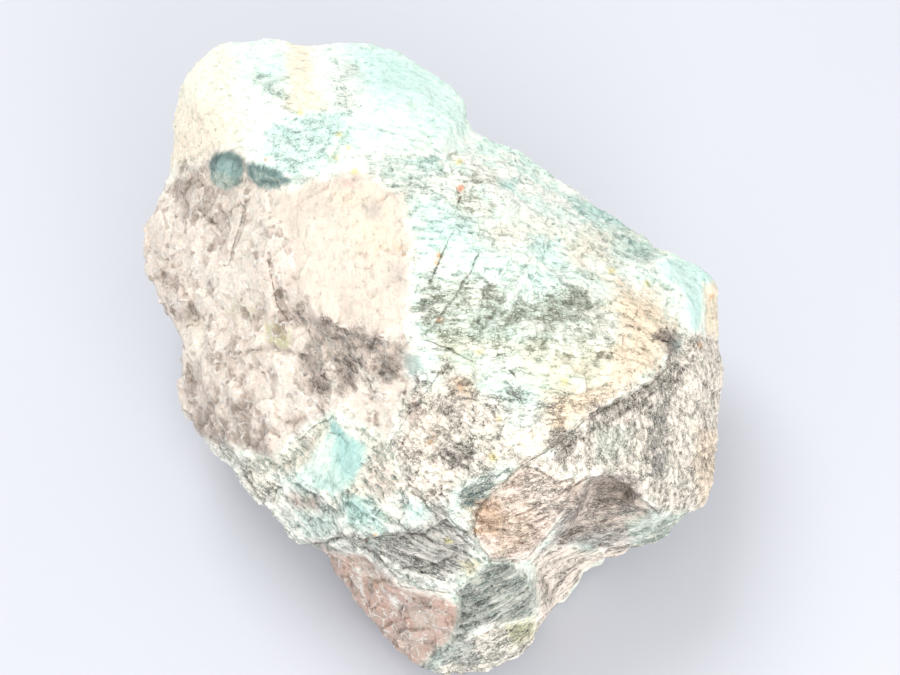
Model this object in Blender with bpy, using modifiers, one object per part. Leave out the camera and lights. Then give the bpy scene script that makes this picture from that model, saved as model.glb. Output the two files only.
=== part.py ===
"""Rough amazonite: one broken lump of green feldspar with cream feldspar and smoky quartz grown into it.

Metres, +Z up. The stone lies on its back on one small flat spot, whose middle is the origin. Its broken
face looks up and towards -Y. Corners of that face are given as one sees them along the line of sight.
"""

import math

import bmesh
import bpy
from mathutils import Matrix, Vector, noise
from mathutils.geometry import delaunay_2d_cdt

MM = 0.001

# How the broken face lies: its middle, above the flat spot, and how steeply one looks down on it.
FACE_MIDDLE = Vector((-1, -9, 60))
LOOKING_DOWN = 65
EYE_DISTANCE = 520
FACE_TURN = Matrix.Rotation(math.radians(90 - LOOKING_DOWN), 3, "X")

# The outline of the broken face, anticlockwise from the top of the crown: across, up and near, in mm.
RIM = [
    (-32, 79.5, -16), (-43.6, 81.5, -17), (-54, 80, -19), (-61, 75, -20), (-65, 69, -20), (-66.5, 62, -19),
    (-67.3, 53, -18), (-68, 47, -18), (-70.3, 40, -19), (-73, 34, -20), (-73.8, 29, -20), (-72.8, 20, -18),
    (-70.3, 13, -16), (-66.4, 8, -15), (-65.5, 4, -12), (-65, -2, -12), (-65.5, -10, -12), (-63.5, -16, -12),
    (-59.5, -21, -11), (-53.3, -28, -9), (-48.5, -33, -8), (-41.3, -41, -7), (-35, -47, -7),
    (-28, -51.5, -12), (-22.8, -59.2, -13), (-16.7, -67.2, -12), (-10.5, -73.8, -12), (-5, -80.3, -12),
    (4, -81.3, -12), (12, -81, -12), (19.5, -78.8, -11), (24.6, -72.8, -12), (28.5, -67, -13),
    (32, -62.5, -13),
    (38, -54.6, -12), (43.3, -52, -10), (52.8, -48.5, -6), (59.2, -46, -2), (64.5, -41.8, 0), (69.7, -38, -4),
    (71.6, -32.5, -6), (72.8, -14, -8), (74.4, -3.5, -8), (72.6, 5, -9), (72.8, 16, -11), (71.5, 20, -12),
    (68, 22.5, -11), (63, 24.5, -9), (57, 26, -8), (53, 31, -10), (42.6, 38, -10), (32.5, 45, -10),
    (22, 52.2, -9), (14.4, 55.3, -7), (9, 58, -6), (7.5, 66.2, -10), (2, 70.5, -12), (-3.5, 74.7, -13),
    (-9, 78, -14), (-16, 80.3, -16),
]

# The lines along which the broken face bends. A step is two lines, its lip and its foot.
FACE_CREASES = {
    "crown_crest": [(-60, 66, -5), (-50, 71, -1), (-32, 70, 3), (-14, 70, 3), (-2, 64, 4), (4, 57, 8)],
    "crown_middle": [(-58, 56, -1), (-46, 60, 7), (-30, 58, 13), (-12, 57, 15)],
    "brow_lip": [
        (-67.3, 53, -18), (-60, 49, -2), (-54, 51, 6.5), (-46, 49.5, 13), (-37, 47, 18), (-28, 46, 21.5),
    ],
    "brow_foot": [
        (-68, 47, -18), (-60, 46, -5), (-54, 47.8, 1.5), (-47, 46.8, 7.5), (-38, 44.6, 15), (-28, 45, 21),
    ],
    "pocket": [(-57, 43.5, -3), (-52, 42.5, 3), (-46, 42.5, 9)],
    "plate_edge": [(-12, 43, 27.5), (-6, 30, 33.5), (-5, 14, 37), (-9, 7, 37)],
    "plate_left": [(-35, 36, 21), (-36, 24, 23), (-31, 14, 27)],
    "plate": [(-24, 38, 26), (-22, 26, 30), (-20, 14, 33)],
    "quartz_spine": [(-62, 37, -4), (-60, 26, -1), (-61, 16, -3)],
    "quartz_slit": [(-50, 38, 8), (-51.5, 30, 7.5), (-53, 23, 7)],
    "quartz_back": [(-42, 36, 17), (-44, 26, 18), (-42, 18, 18.5)],
    "quartz_valley": [(-66.4, 8, -15), (-58, 10.5, -3.5), (-50, 9.5, 5.5), (-42, 9, 13), (-36, 9.5, 20)],
    "quartz_bulge": [(-59, 4, 0.5), (-48, 1, 11), (-38, 1, 19.5), (-24, 1, 29), (-12, 0, 34.5)],
    "quartz_apron": [(-59, -12, 0.5), (-47, -13, 11.5), (-34, -10, 21), (-20, -9, 29)],
    "quartz_lip": [
        (-63.5, -16, -12), (-58.8, -19, -4), (-53.3, -21, 2), (-46.2, -22.8, 7.5), (-40, -25, 11.5),
        (-34, -22, 17), (-28, -16, 23), (-22, -13, 27), (-14, -12, 32),
    ],
    "quartz_foot": [
        (-59.5, -21, -11), (-57.5, -22.5, -7.5), (-53, -24, -3), (-46, -25.5, 2.5), (-40, -27.6, 7.5),
        (-35, -26, 12.5), (-29, -19, 19.5), (-22, -15.5, 24.5), (-14, -15, 30),
    ],
    "terrace_lip": [
        (-44, -29.5, 5), (-38, -31, 9.5), (-30, -35, 15.5), (-24.6, -41, 19), (-22.5, -45, 20),
        (-13, -48.5, 23.5), (-2, -49.5, 26), (8, -50, 28),
    ],
    "terrace_foot": [
        (-45, -31.5, 1.5), (-38.8, -33.3, 5.5), (-31.3, -37.4, 10.5), (-26.6, -43, 13.5), (-23.5, -48, 14.5),
        (-13, -51.3, 18), (-2, -52.5, 21), (9, -53, 25),
    ],
    "ledge_lip": [
        (-35, -47, -7), (-27.7, -48.3, 1.5), (-19, -51, 7), (-13, -56.2, 10), (-8.7, -58.8, 13),
        (-4.4, -58.8, 15), (3.6, -60.4, 18),
    ],
    "ledge_foot": [
        (-28, -51.5, -12), (-25.8, -51, -6), (-18.2, -53.4, 0.5), (-12.4, -58.6, 3.5), (-8.5, -61.2, 6),
        (-4, -61.4, 8.5), (3.4, -63.4, 11),
    ],
    "lower_quartz": [(-14, -63, -5), (-5, -67, 0), (2, -69, 3)],
    "lower_quartz_tip": [(-9, -70, -6), (-2, -76, -5)],
    "toe_back": [(-3, -80, -10.5), (5, -72, 1), (8, -66, 9), (6, -62, 13)],
    "toe_edge": [
        (1, -79.8, -7), (7, -72, 4.5), (9.7, -66, 12.5), (8, -60.5, 17.5), (12, -56.5, 22), (16, -54.8, 24.5),
        (21.5, -55.6, 23), (25.3, -60.8, 14), (24.8, -65.4, 8), (23.5, -70, 1), (19, -77, -6),
    ],
    "toe_body": [(16, -62, 17), (15, -72, 4)],
    "toe_side": [(23.8, -54.6, 16), (27.2, -60.5, 7), (26.6, -66, 1), (25, -71.5, -7)],
    "bevel_outer": [(4, -0.5, 36.5), (-5, -5.5, 36), (-13.5, -21, 32.5)],
    "bevel_inner": [(5.5, -3, 38.8), (-2.5, -8.5, 39), (-11, -22.5, 36)],
    "long_crack": [(-11.5, -24.5, 34), (-4.5, -36, 33), (4, -43.5, 31.5), (9.7, -48, 29.8), (14, -53, 27)],
    "middle_fall": [(-5, -33, 35.5), (6, -31, 38.5), (17, -29, 40.3)],
    "middle_foot": [(0, -37, 34), (9, -41, 33.5)],
    "middle_crease": [(18, -18.5, 40.5), (20, -23.5, 40), (23.8, -28, 41)],
    "middle": [(3, -18, 40)],
    "cream_facet": [(19, -17.5, 42), (28, -23.5, 42.2), (22, -25.8, 42.8)],
    "block_edge": [
        (23.8, -28, 41), (32.6, -31.5, 39.5), (40.3, -30.6, 36), (38, -36, 35.5), (35, -40.5, 35.5),
        (25.2, -50.3, 34), (21.5, -51.8, 32), (15, -51.4, 30.5), (10.8, -46, 32), (10.8, -40, 35),
        (17.8, -34, 39), (23.8, -28, 41),
    ],
    "block_middle": [(22, -42, 41), (31, -36, 40.5)],
    "block_foot": [(42, -32.2, 19), (37.2, -41.3, 13), (27.5, -51.8, 10), (22.2, -53.6, 17), (15, -53.6, 22)],
    "hollow": [(45, -36, 15), (41, -43, 10), (34, -50, 5)],
    "underside": [(57, -43.6, 6), (46, -47, 1), (36, -53, -5), (30, -59, -7)],
    "shoulder_lip": [
        (40.3, -30.6, 36), (45, -31.4, 32), (49.5, -32.4, 29.5), (51, -38, 25), (56.7, -40.4, 18.5),
        (64.5, -41.8, 0),
    ],
    "shoulder_foot": [(42, -32.2, 19), (48, -33.8, 18), (49.4, -39.6, 13.5), (55.5, -42.2, 10)],
    "ridge_lip": [(60.5, 2.2, 23.5), (50, -6.8, 34.3), (42, -12.8, 37.6), (31.5, -21.7, 41), (28, -24.6, 42)],
    "ridge_foot": [
        (61.4, 0.4, 20.5), (50.8, -8.8, 31.5), (42.6, -14.8, 35), (32.4, -23.6, 39), (28.8, -26.8, 40.3),
    ],
    "broad_top": [(2, 46, 22), (18, 42, 16), (32, 34, 12), (46, 24, 10), (57, 14, 13)],
    "broad_left": [(4, 32, 31), (8, 14, 37), (2, 4, 38)],
    "green_step_lip": [(23, 21.5, 32.5), (18.5, 14.4, 35.5), (13.5, 6, 38)],
    "green_step_foot": [(25, 20.5, 29.5), (20.8, 13.8, 32.5), (15.6, 5.6, 36)],
    "green_floor": [(30, 13, 30), (41, 15, 25.5)],
    "green_edge": [(28, 4, 36.5), (42, 5, 33), (50, 10, 26)],
    "lobe_lip": [(27.4, -6.5, 39.6), (36.7, -10, 38.8), (45, -7.6, 36)],
    "lobe_foot": [(27.2, -8, 38.6), (36.9, -11.8, 37), (45.8, -9.3, 34.6)],
    "broad_middle": [(14, -9, 41.3)],
    "pit": [(61.8, 2.6, 14), (62.8, 4.5, 13)],
    "corner_foot": [(57.3, 24, -1), (63.6, 14, 8.5), (64.4, 7, 10)],
    "corner_lip": [(59, 24.2, 1.5), (65.3, 14.5, 10), (66.6, 6, 10.5)],
    "rim_strip": [
        (69.5, 20, -4), (69.3, 8, 3), (67.5, -4, 13), (68.6, -20, 10.5), (68.6, -33, 7), (66.3, -38.6, 5),
    ],
    "shoulder": [(56, -14, 27.5), (46, -22, 34), (58, -30, 23)],
}

# The wall behind the rim: how deep it is, how far it draws in, how unevenly, and how low it reaches, in mm.
WALL_DEPTH = 20
WALL_SHRINK = 0.95
WALL_UNEVENNESS = 0.7
WALL_WAVE = 20
WALL_LOWEST = 4

# The lines along which the back bends, in mm from the middle of the flat spot.
BACK_CREASES = {
    "flat_spot": [
        (-34, -14, -2), (-20, -28, -2), (14, -28, -2), (34, -8, -2), (31, 24, -2), (0, 36, -2), (-28, 24, -2),
        (-34, -14, -2),
    ],
    "heel_front": [(-49, -10, 9), (-30, -38, 7), (16, -43, 7), (47, -14, 10)],
    "heel_back": [(-49, 34, 12), (-20, 56, 10), (14, 48, 11), (43, 26, 14)],
    "waist_left": [(-54, -18, 23), (-65, 14, 34), (-60, 42, 38), (-50, 62, 42)],
    "waist_back": [(-50, 62, 42), (-26, 73, 38), (0, 58, 37), (22, 53, 35), (46, 34, 38)],
    "waist_right": [(46, 34, 38), (63, 8, 33), (53, -25, 20)],
    "keel": [(-6, -52, 9), (8, -56, 10)],
}

# Crystals that stand a little proud of the broken face: the corners of their outer face. Their root is as deep
# as CRYSTAL_ROOT.
CRYSTALS = {
    "teal_leaf": [
        (-48.2, 48.7, 10), (-45.1, 49.5, 13), (-40.5, 47.7, 16.5), (-36.9, 45.1, 17), (-39.5, 43.1, 15.5),
        (-44.1, 43.6, 12), (-47.2, 45.9, 9.5),
    ],
    "teal_crystal": [
        (-25.1, -15.6, 25), (-18.5, -22.3, 29), (-17.2, -24.4, 29.5), (-21.5, -31.5, 25.5),
        (-27.2, -36.4, 19.5), (-35.6, -31, 14),
    ],
    "small_teal_crystal": [
        (-21.5, -37.7, 26), (-15.9, -38.2, 29), (-12.8, -42, 29.5), (-14.4, -46.4, 26.5), (-20, -46.9, 23.5),
        (-22.8, -42.6, 22.5),
    ],
}
CRYSTAL_ROOT = 7
ROOT_SPREAD = 1.15
TEAL_BALL = (-53.3, 47.2, 5.5)
TEAL_BALL_RADIUS = 4.2

# Where the stone's other minerals lie, as round patches: across, up and radius, in mm.
QUARTZ = [
    (-56, 27, 20), (-44, 8, 14), (-52, -6, 20), (-30, -3, 18), (-16, -6, 12), (-13, -66, 14), (0, -72, 12),
]
TERRACES = [(-42, -35, 12), (-30, -42, 12), (-15, -47, 14), (-2, -52, 10)]
SHOULDER = [(50, -20, 22), (62, -8, 14), (62, -32, 12)]
FOLIATED = [(16, -67, 14), (45, -46, 14)]
PATCH_FADE = 4

# Sizes and heights of the small relief, in mm.
RELIEF_CELL = 1.4
CHIP_SIZE, CHIP_HEIGHT, CHIP_TILT = 12, 0.3, 0.08
GRAIN_SIZE, GRAIN_HEIGHT, GRAIN_TILT = 8, 0.55, 0.2
LEDGE_SPACING, LEDGE_HEIGHT = 5.5, 1.1
STRIA_SPACING, STRIA_HEIGHT = 4.2, 0.7
LAYER_SPACING, LAYER_HEIGHT = 4, 1.0
SLAB_SIZE, SLAB_HEIGHT, SLAB_TILT = 30, 1.6, 0.26
SHELF_SPACING, SHELF_HEIGHT = 13, 1.8
WAVE_SIZE, WAVE_HEIGHT = 24, 0.8

# How far the edges of the layers wander, and over what length, both as shares of their spacing.
EDGE_WANDER, EDGE_WAVE = 0.6, 3

# Which way each set of ledges and layers steps down: across, up and near.
LEDGE_STEPS = Vector((0.55, 0.8, 0.2)).normalized()
STRIA_STEPS = Vector((0.95, 0.3, 0)).normalized()
LAYER_STEPS = Vector((-0.6, 0.8, 0)).normalized()
SHELF_STEPS = Vector((0.5, -0.3, 0.8)).normalized()

# Near the table the relief fades out over this height, so that the flat spot stays flat.
REST_FADE = 8

# How much a surface faces the eye, from 1 to -1, where the back's relief begins and where it is full.
BEHIND_BEGINS, BEHIND_FULL = 0.1, -0.4

NORMAL_BLENDS = 8
TRIANGLES = 9400
FLOOR_WIDTH, FLOOR_DEPTH = 200, 20

# Facets are kept inside the rim only, and corners nearer than this, in mm, count as one.
INSIDE_RIM, SAME_CORNER = 1, 1e-4

STONE_COLOUR = (0.78, 0.86, 0.80, 1)
STONE_ROUGHNESS = 0.62


def seen(across, up, near):
    """A corner in mm: where one sees it on the face's middle plane, and how near it comes to the eye."""
    closer = (EYE_DISTANCE - near) / EYE_DISTANCE
    return FACE_MIDDLE + FACE_TURN @ Vector((across * closer, up * closer, near))


def sight(corner):
    """Where one sees a corner on the face's middle plane: across and up, in mm."""
    across, up, near = FACE_TURN.transposed() @ (Vector(corner) - FACE_MIDDLE)
    closer = (EYE_DISTANCE - near) / EYE_DISTANCE
    return Vector((across / closer, up / closer))


def new_object(name, bm, collection):
    mesh = bpy.data.meshes.new(name)
    bm.to_mesh(mesh)
    bm.free()
    obj = bpy.data.objects.new(name, mesh)
    collection.objects.link(obj)
    return obj


def stretch(bm, rim, lines):
    """Facets stretched between the rim and the lines of one side."""
    places = [vertex.co / MM for vertex in rim]
    edges = []
    for line in lines:
        start = len(places)
        places += line
        edges += [(i, i + 1) for i in range(start, len(places) - 1)]
    flat = [sight(place) for place in places]
    found, _, faces, sources, _, _ = delaunay_2d_cdt(
        flat, edges, [list(range(len(rim)))], INSIDE_RIM, SAME_CORNER
    )
    corners = []
    for point, source in zip(found, sources):
        if not source:
            raise ValueError(f"two creases cross at {point.x:.1f}, {point.y:.1f}")
        first = min(source)
        corners.append(rim[first] if first < len(rim) else bm.verts.new(Vector(places[first]) * MM))
    for face in faces:
        bm.faces.new([corners[i] for i in face])


def wall_foot(across, up, near):
    """Where the wall behind a corner of the rim ends."""
    uneven = 1 + WALL_UNEVENNESS * noise.noise(Vector((across, up, near)) / WALL_WAVE)
    shrink = 1 - (1 - WALL_SHRINK) * uneven
    edge, foot = (seen(across * shrink, up * shrink, near - depth) for depth in (0, WALL_DEPTH * uneven))
    lowest = (edge.z - WALL_LOWEST) / (edge.z - foot.z)
    return edge.lerp(foot, min(1, lowest))


def rough_block(name, collection):
    """The stone's main form: the broken face, the wall behind its rim, and the hidden back."""
    bm = bmesh.new()
    rim = [bm.verts.new(seen(*corner) * MM) for corner in RIM]
    feet = [bm.verts.new(wall_foot(*corner) * MM) for corner in RIM]
    for i, foot in enumerate(feet):
        bm.faces.new((rim[i - 1], rim[i], foot, feet[i - 1]))
    stretch(bm, rim, [[seen(*corner) for corner in line] for line in FACE_CREASES.values()])
    stretch(bm, feet, [[Vector(corner) for corner in line] for line in BACK_CREASES.values()])
    bmesh.ops.recalc_face_normals(bm, faces=bm.faces)
    return new_object(name, bm, collection)


def new_collection(name):
    collection = bpy.data.collections.new(name)
    bpy.context.scene.collection.children.link(collection)
    return collection


def helper(obj):
    obj.hide_render = True
    obj.display_type = "WIRE"
    return obj


def crystal(name, corners, collection):
    """A block under a flat outer face, wider at its root."""
    bm = bmesh.new()
    middle = sum((Vector(corner) for corner in corners), Vector()) / len(corners)
    for corner in corners:
        root = middle + (Vector(corner) - middle) * ROOT_SPREAD
        bm.verts.new(seen(*corner) * MM)
        bm.verts.new(seen(root.x, root.y, root.z - CRYSTAL_ROOT) * MM)
    bmesh.ops.convex_hull(bm, input=bm.verts)
    bmesh.ops.recalc_face_normals(bm, faces=bm.faces)
    return helper(new_object(name, bm, collection))


def ball_crystal(name, collection):
    bm = bmesh.new()
    place = Matrix.Translation(seen(*TEAL_BALL) * MM)
    bmesh.ops.create_icosphere(bm, subdivisions=1, radius=TEAL_BALL_RADIUS * MM, matrix=place)
    return helper(new_object(name, bm, collection))


def box_below_floor(name, collection):
    bm = bmesh.new()
    size = Matrix.Diagonal((FLOOR_WIDTH, FLOOR_WIDTH, FLOOR_DEPTH, 1))
    bmesh.ops.create_cube(bm, size=MM, matrix=Matrix.Translation((0, 0, -FLOOR_DEPTH / 2 * MM)) @ size)
    return helper(new_object(name, bm, collection))


def boolean(obj, other, operation):
    modifier = obj.modifiers.new(f"{operation.lower()} {other.name}", "BOOLEAN")
    modifier.operation = operation
    modifier.solver = "EXACT"
    modifier.object = other


def evaluated(obj):
    """The object's mesh with its modifiers applied, open for editing."""
    bm = bmesh.new()
    bm.from_object(obj, bpy.context.evaluated_depsgraph_get())
    return bm


def cover(spot, patches):
    """How fully a spot of the face lies in any of the round patches, from 0 to 1."""
    deepest = max(radius - (spot - Vector((across, up))).length for across, up, radius in patches)
    return min(max(deepest / PATCH_FADE + 0.5, 0), 1)


def chips(place, size, height, tilt):
    """Each cell of the stone is raised and tilted its own way, so that it breaks in flat chips."""
    middle = noise.voronoi(place / size)[1][0]
    lift, slope_x, slope_y = 2 * noise.cell_vector(middle) - Vector((1, 1, 1))
    away = place - middle * size
    return lift * height + tilt * (slope_x * away.x + slope_y * away.y)


def layers(place, steps, spacing, height):
    """Layers that step down one after another, each with a slightly wavy edge."""
    run = place.dot(FACE_TURN @ steps) / spacing + EDGE_WANDER * noise.noise(place / (EDGE_WAVE * spacing))
    return height * (0.5 - run % 1)


def relief(place, behind):
    """How far the surface stands out or in at a place, in mm."""
    spot = sight(place)
    quartz = cover(spot, QUARTZ)
    feldspar = (1 - quartz) * chips(place, CHIP_SIZE, CHIP_HEIGHT, CHIP_TILT)
    grains = quartz * chips(place, GRAIN_SIZE, GRAIN_HEIGHT, GRAIN_TILT)
    ledges = cover(spot, TERRACES) * layers(place, LEDGE_STEPS, LEDGE_SPACING, LEDGE_HEIGHT)
    striae = cover(spot, SHOULDER) * layers(place, STRIA_STEPS, STRIA_SPACING, STRIA_HEIGHT)
    foliation = cover(spot, FOLIATED) * layers(place, LAYER_STEPS, LAYER_SPACING, LAYER_HEIGHT)
    slabs = behind * chips(place, SLAB_SIZE, SLAB_HEIGHT, SLAB_TILT)
    shelves = behind * layers(place, SHELF_STEPS, SHELF_SPACING, SHELF_HEIGHT)
    wave = WAVE_HEIGHT * noise.noise(place / WAVE_SIZE)
    total = feldspar + grains + ledges + striae + foliation + slabs + shelves + wave
    return total * min(max(place.z / REST_FADE, 0), 1)


def soft_normals(bm):
    """Directions off the surface, blended with those around them, so that edges don't tear open."""
    bm.normal_update()
    directions = [vertex.normal.copy() for vertex in bm.verts]
    for _ in range(NORMAL_BLENDS):
        blended = []
        for vertex, direction in zip(bm.verts, directions):
            around = [directions[edge.other_vert(vertex).index] for edge in vertex.link_edges]
            blended.append(sum(around, direction).normalized())
        directions = blended
    return directions


def roughen(bm):
    """Moves each corner of an even mesh out or in by the relief there."""
    to_eye = FACE_TURN @ Vector((0, 0, 1))
    for vertex, direction in zip(bm.verts, soft_normals(bm)):
        behind = (BEHIND_BEGINS - direction.dot(to_eye)) / (BEHIND_BEGINS - BEHIND_FULL)
        vertex.co += direction * relief(vertex.co / MM, min(max(behind, 0), 1)) * MM


def stone_material():
    material = bpy.data.materials.new("amazonite")
    material.use_nodes = True
    shader = material.node_tree.nodes["Principled BSDF"]
    shader.inputs["Base Color"].default_value = STONE_COLOUR
    shader.inputs["Roughness"].default_value = STONE_ROUGHNESS
    shader.inputs["Metallic"].default_value = 0
    return material


def main():
    for obj in list(bpy.data.objects):
        bpy.data.objects.remove(obj)
    stone_parts = new_collection("rough_amazonite")
    helpers = new_collection("helpers")
    form = helper(rough_block("form", helpers))
    for name, corners in CRYSTALS.items():
        boolean(form, crystal(name, corners, helpers), "UNION")
    boolean(form, ball_crystal("teal_ball", helpers), "UNION")
    remesh = form.modifiers.new("even surface", "REMESH")
    remesh.mode = "VOXEL"
    remesh.voxel_size = RELIEF_CELL * MM
    bm = evaluated(form)
    roughen(bm)
    faces = len(bm.faces)
    stone = new_object("rough_amazonite", bm, stone_parts)
    stone.data.materials.append(stone_material())
    decimate = stone.modifiers.new("fewer facets", "DECIMATE")
    decimate.ratio = TRIANGLES / (2 * faces)
    boolean(stone, box_below_floor("below_floor", helpers), "DIFFERENCE")


main()
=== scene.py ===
# %% [markdown]
# # A lump of rough amazonite
#
# Amazonite is a green feldspar. This lump was broken out of a coarse vein, so its face shows several
# minerals grown into each other: mint and turquoise feldspar, cream feldspar, smoky pinkish quartz and thin
# dark speckled bands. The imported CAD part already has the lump's main forms. This lesson gives that form
# the fine broken surface and the minerals' colours.

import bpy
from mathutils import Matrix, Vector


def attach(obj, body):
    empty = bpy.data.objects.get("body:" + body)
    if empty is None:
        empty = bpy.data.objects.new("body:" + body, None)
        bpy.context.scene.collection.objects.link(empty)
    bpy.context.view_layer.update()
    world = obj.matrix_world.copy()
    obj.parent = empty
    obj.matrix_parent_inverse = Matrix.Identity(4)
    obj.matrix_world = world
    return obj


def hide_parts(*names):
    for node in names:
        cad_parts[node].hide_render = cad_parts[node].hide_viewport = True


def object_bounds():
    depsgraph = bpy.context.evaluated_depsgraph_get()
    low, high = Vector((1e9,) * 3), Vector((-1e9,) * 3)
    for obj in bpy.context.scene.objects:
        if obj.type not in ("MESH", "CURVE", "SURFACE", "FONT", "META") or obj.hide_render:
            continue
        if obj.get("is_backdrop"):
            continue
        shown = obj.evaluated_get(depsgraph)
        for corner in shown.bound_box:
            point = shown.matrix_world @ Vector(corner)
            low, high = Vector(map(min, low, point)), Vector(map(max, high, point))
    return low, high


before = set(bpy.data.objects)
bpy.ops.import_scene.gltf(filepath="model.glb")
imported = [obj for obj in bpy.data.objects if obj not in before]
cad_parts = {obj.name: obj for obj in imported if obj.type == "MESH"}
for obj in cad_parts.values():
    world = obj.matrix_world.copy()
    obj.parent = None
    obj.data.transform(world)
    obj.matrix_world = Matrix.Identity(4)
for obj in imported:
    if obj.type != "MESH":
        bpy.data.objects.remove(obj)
cad_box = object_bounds()
cad_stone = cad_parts["rough_amazonite"]
print("CAD stone:", len(cad_stone.data.polygons), "facets")
print("box in m:", [tuple(round(c, 4) for c in end) for end in cad_box])

# %% [markdown]
# ## Measures
#
# The stone is worked in millimetres, because its crystals and chips are a few millimetres wide. Blender's
# own unit is the metre, so one value turns the one into the other.

# %% Bring in the helpers
import math

import bpy
import numpy as np
from mathutils import Matrix, Vector

MM = 0.001

# %% [markdown]
# ## How the broken face is seen
#
# The broken face leans back, and one looks down on it steeply. Every crystal, band and crack is easiest to
# place as one sees it: so far across and so far up from the middle of the view. `as_seen` gives those two
# for any point of the stone, and a third number, how near the point comes to the eye. It is the same sum
# that the camera does, so what is placed this way also appears at that place in the picture.

# %% Places as one sees them
FACE_MIDDLE = np.array((-1.0, -9.0, 60.0))
LOOKING_DOWN = 65
EYE_DISTANCE = 520
FACE_TURN = Matrix.Rotation(math.radians(90 - LOOKING_DOWN), 3, "X")


def as_seen(points):
    """Across, up and near, in mm, for points given in mm."""
    turned = (points - FACE_MIDDLE) @ np.array(FACE_TURN)
    closer = (EYE_DISTANCE - turned[:, 2]) / EYE_DISTANCE
    return np.column_stack((turned[:, 0] / closer, turned[:, 1] / closer, turned[:, 2]))


print("line of sight", [round(c, 3) for c in FACE_TURN @ Vector((0, 0, -1))])

# %% [markdown]
# ## The stone's own mesh
#
# The CAD stone stays as it is, so the work is done on a copy. Its mesh is loose triangles, so the copy's
# doubled corners are merged first. Its facets are 3 to 5 mm wide, too coarse for chips and grains. A voxel
# Remesh gives an even net of small quads, and a Smooth modifier rounds off the old facets' edges, which no
# real stone has. Sculpting by hand could do the same, but a modifier does it alike each time.

# %% Copy the stone and give it a fine, even net
NET_SIZE = 0.52
MERGE_DISTANCE = 0.01
ROUNDING_STEPS = 9


def select_only(obj):
    bpy.ops.object.select_all(action="DESELECT")
    obj.select_set(True)
    bpy.context.view_layer.objects.active = obj


def apply_modifier(obj, kind, **values):
    """Adds a modifier with these values and applies it at once."""
    select_only(obj)
    bpy.ops.object.modifier_add(type=kind)
    modifier = obj.modifiers[-1]
    for name, value in values.items():
        setattr(modifier, name, value)
    bpy.ops.object.modifier_apply(modifier=modifier.name)


stone = bpy.data.objects.new("stone", cad_stone.data.copy())
bpy.context.scene.collection.objects.link(stone)
select_only(stone)
bpy.ops.object.mode_set(mode="EDIT")
bpy.ops.mesh.select_all(action="SELECT")
bpy.ops.mesh.remove_doubles(threshold=MERGE_DISTANCE * MM)
bpy.ops.object.mode_set(mode="OBJECT")
apply_modifier(stone, "REMESH", mode="VOXEL", voxel_size=NET_SIZE * MM)
apply_modifier(stone, "SMOOTH", factor=0.5, iterations=ROUNDING_STEPS)
print("net:", len(stone.data.vertices), "corners")

# %% [markdown]
# ## Reading and moving the corners
#
# A Displace modifier can push a surface by a texture, but its textures have no flat tilted chips and no
# steps along a slanted line, and broken rock is made of those. So the relief is worked out in a few short
# functions for all corners at once, and each corner is then moved along the surface's own direction there.
#
# At a sharp edge the corners' own directions spread apart, and a deep relief would tear there. Blending
# each direction with its neighbours' keeps the surface whole.

# %% Corners and their directions
NORMAL_BLENDS = 6


def corner_places(obj):
    places = np.empty(len(obj.data.vertices) * 3)
    obj.data.vertices.foreach_get("co", places)
    return places.reshape(-1, 3) / MM


def edge_ends(obj):
    ends = np.empty(len(obj.data.edges) * 2, dtype=np.int64)
    obj.data.edges.foreach_get("vertices", ends)
    return ends.reshape(-1, 2).T


def outward(obj, blends):
    """The direction off the surface at each corner, blended with those around it."""
    mesh = obj.data
    directions = np.empty(len(mesh.vertices) * 3)
    mesh.vertices.foreach_get("normal", directions)
    directions = directions.reshape(-1, 3)
    first, second = edge_ends(obj)
    for _ in range(blends):
        total = directions.copy()
        for axis in range(3):
            total[:, axis] += np.bincount(first, directions[second, axis], len(directions))
            total[:, axis] += np.bincount(second, directions[first, axis], len(directions))
        directions = total / np.linalg.norm(total, axis=1, keepdims=True)
    return directions


places = corner_places(stone)
print("lowest and highest corner:", places.min(0).round(1), places.max(0).round(1))

# %% [markdown]
# ## Patterns that broken rock is made of
#
# Four patterns are enough. Clouds are soft noise. Grains are cells: the whole of a cell takes one height
# and one tilt, so that it reads as a flat chip. Drawn-out clouds are noise that is stretched along one
# direction, for the fine streaks that run through feldspar. Steps rise slowly and drop at once, as cleaved
# layers do.
#
# None of them draws random numbers. `cell_numbers` scrambles the place of a lattice cell into three
# numbers, so the same place always gets the same ones. The seed is any whole number, and another seed gives
# another pattern.

# %% Scrambled numbers for the cells of a lattice
# Large primes, as such scrambling needs them, and how many steps apart the three numbers are cut out.
PRIMES = [np.uint32(prime) for prime in (374761393, 668265263, 2246822519, 3266489917)]
SEED_STEP = 40503
TEN_BITS = np.uint32(1023)


def cell_numbers(x, y, z, seed):
    """Three numbers from -1 to 1 for each cell of a lattice, the same each time."""
    x, y, z = (part.astype(np.int32).view(np.uint32) for part in (x, y, z))
    mixed = x * PRIMES[0] + y * PRIMES[1] + z * PRIMES[2]
    mixed += np.uint32(seed * SEED_STEP + 1)
    mixed = (mixed ^ (mixed >> np.uint32(15))) * PRIMES[2]
    mixed = (mixed ^ (mixed >> np.uint32(13))) * PRIMES[3]
    mixed ^= mixed >> np.uint32(16)
    cut_out = [(mixed >> np.uint32(shift)) & TEN_BITS for shift in (0, 10, 20)]
    return [number.astype(np.float32) / 511.5 - 1 for number in cut_out]


print("cell 1, 2, 3:", [number.round(2) for number in cell_numbers(*np.array([[1.0], [2.0], [3.0]]), 0)])

# %% Clouds, chips, streaks and steps
CLOUD_GAIN = 1.4


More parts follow.
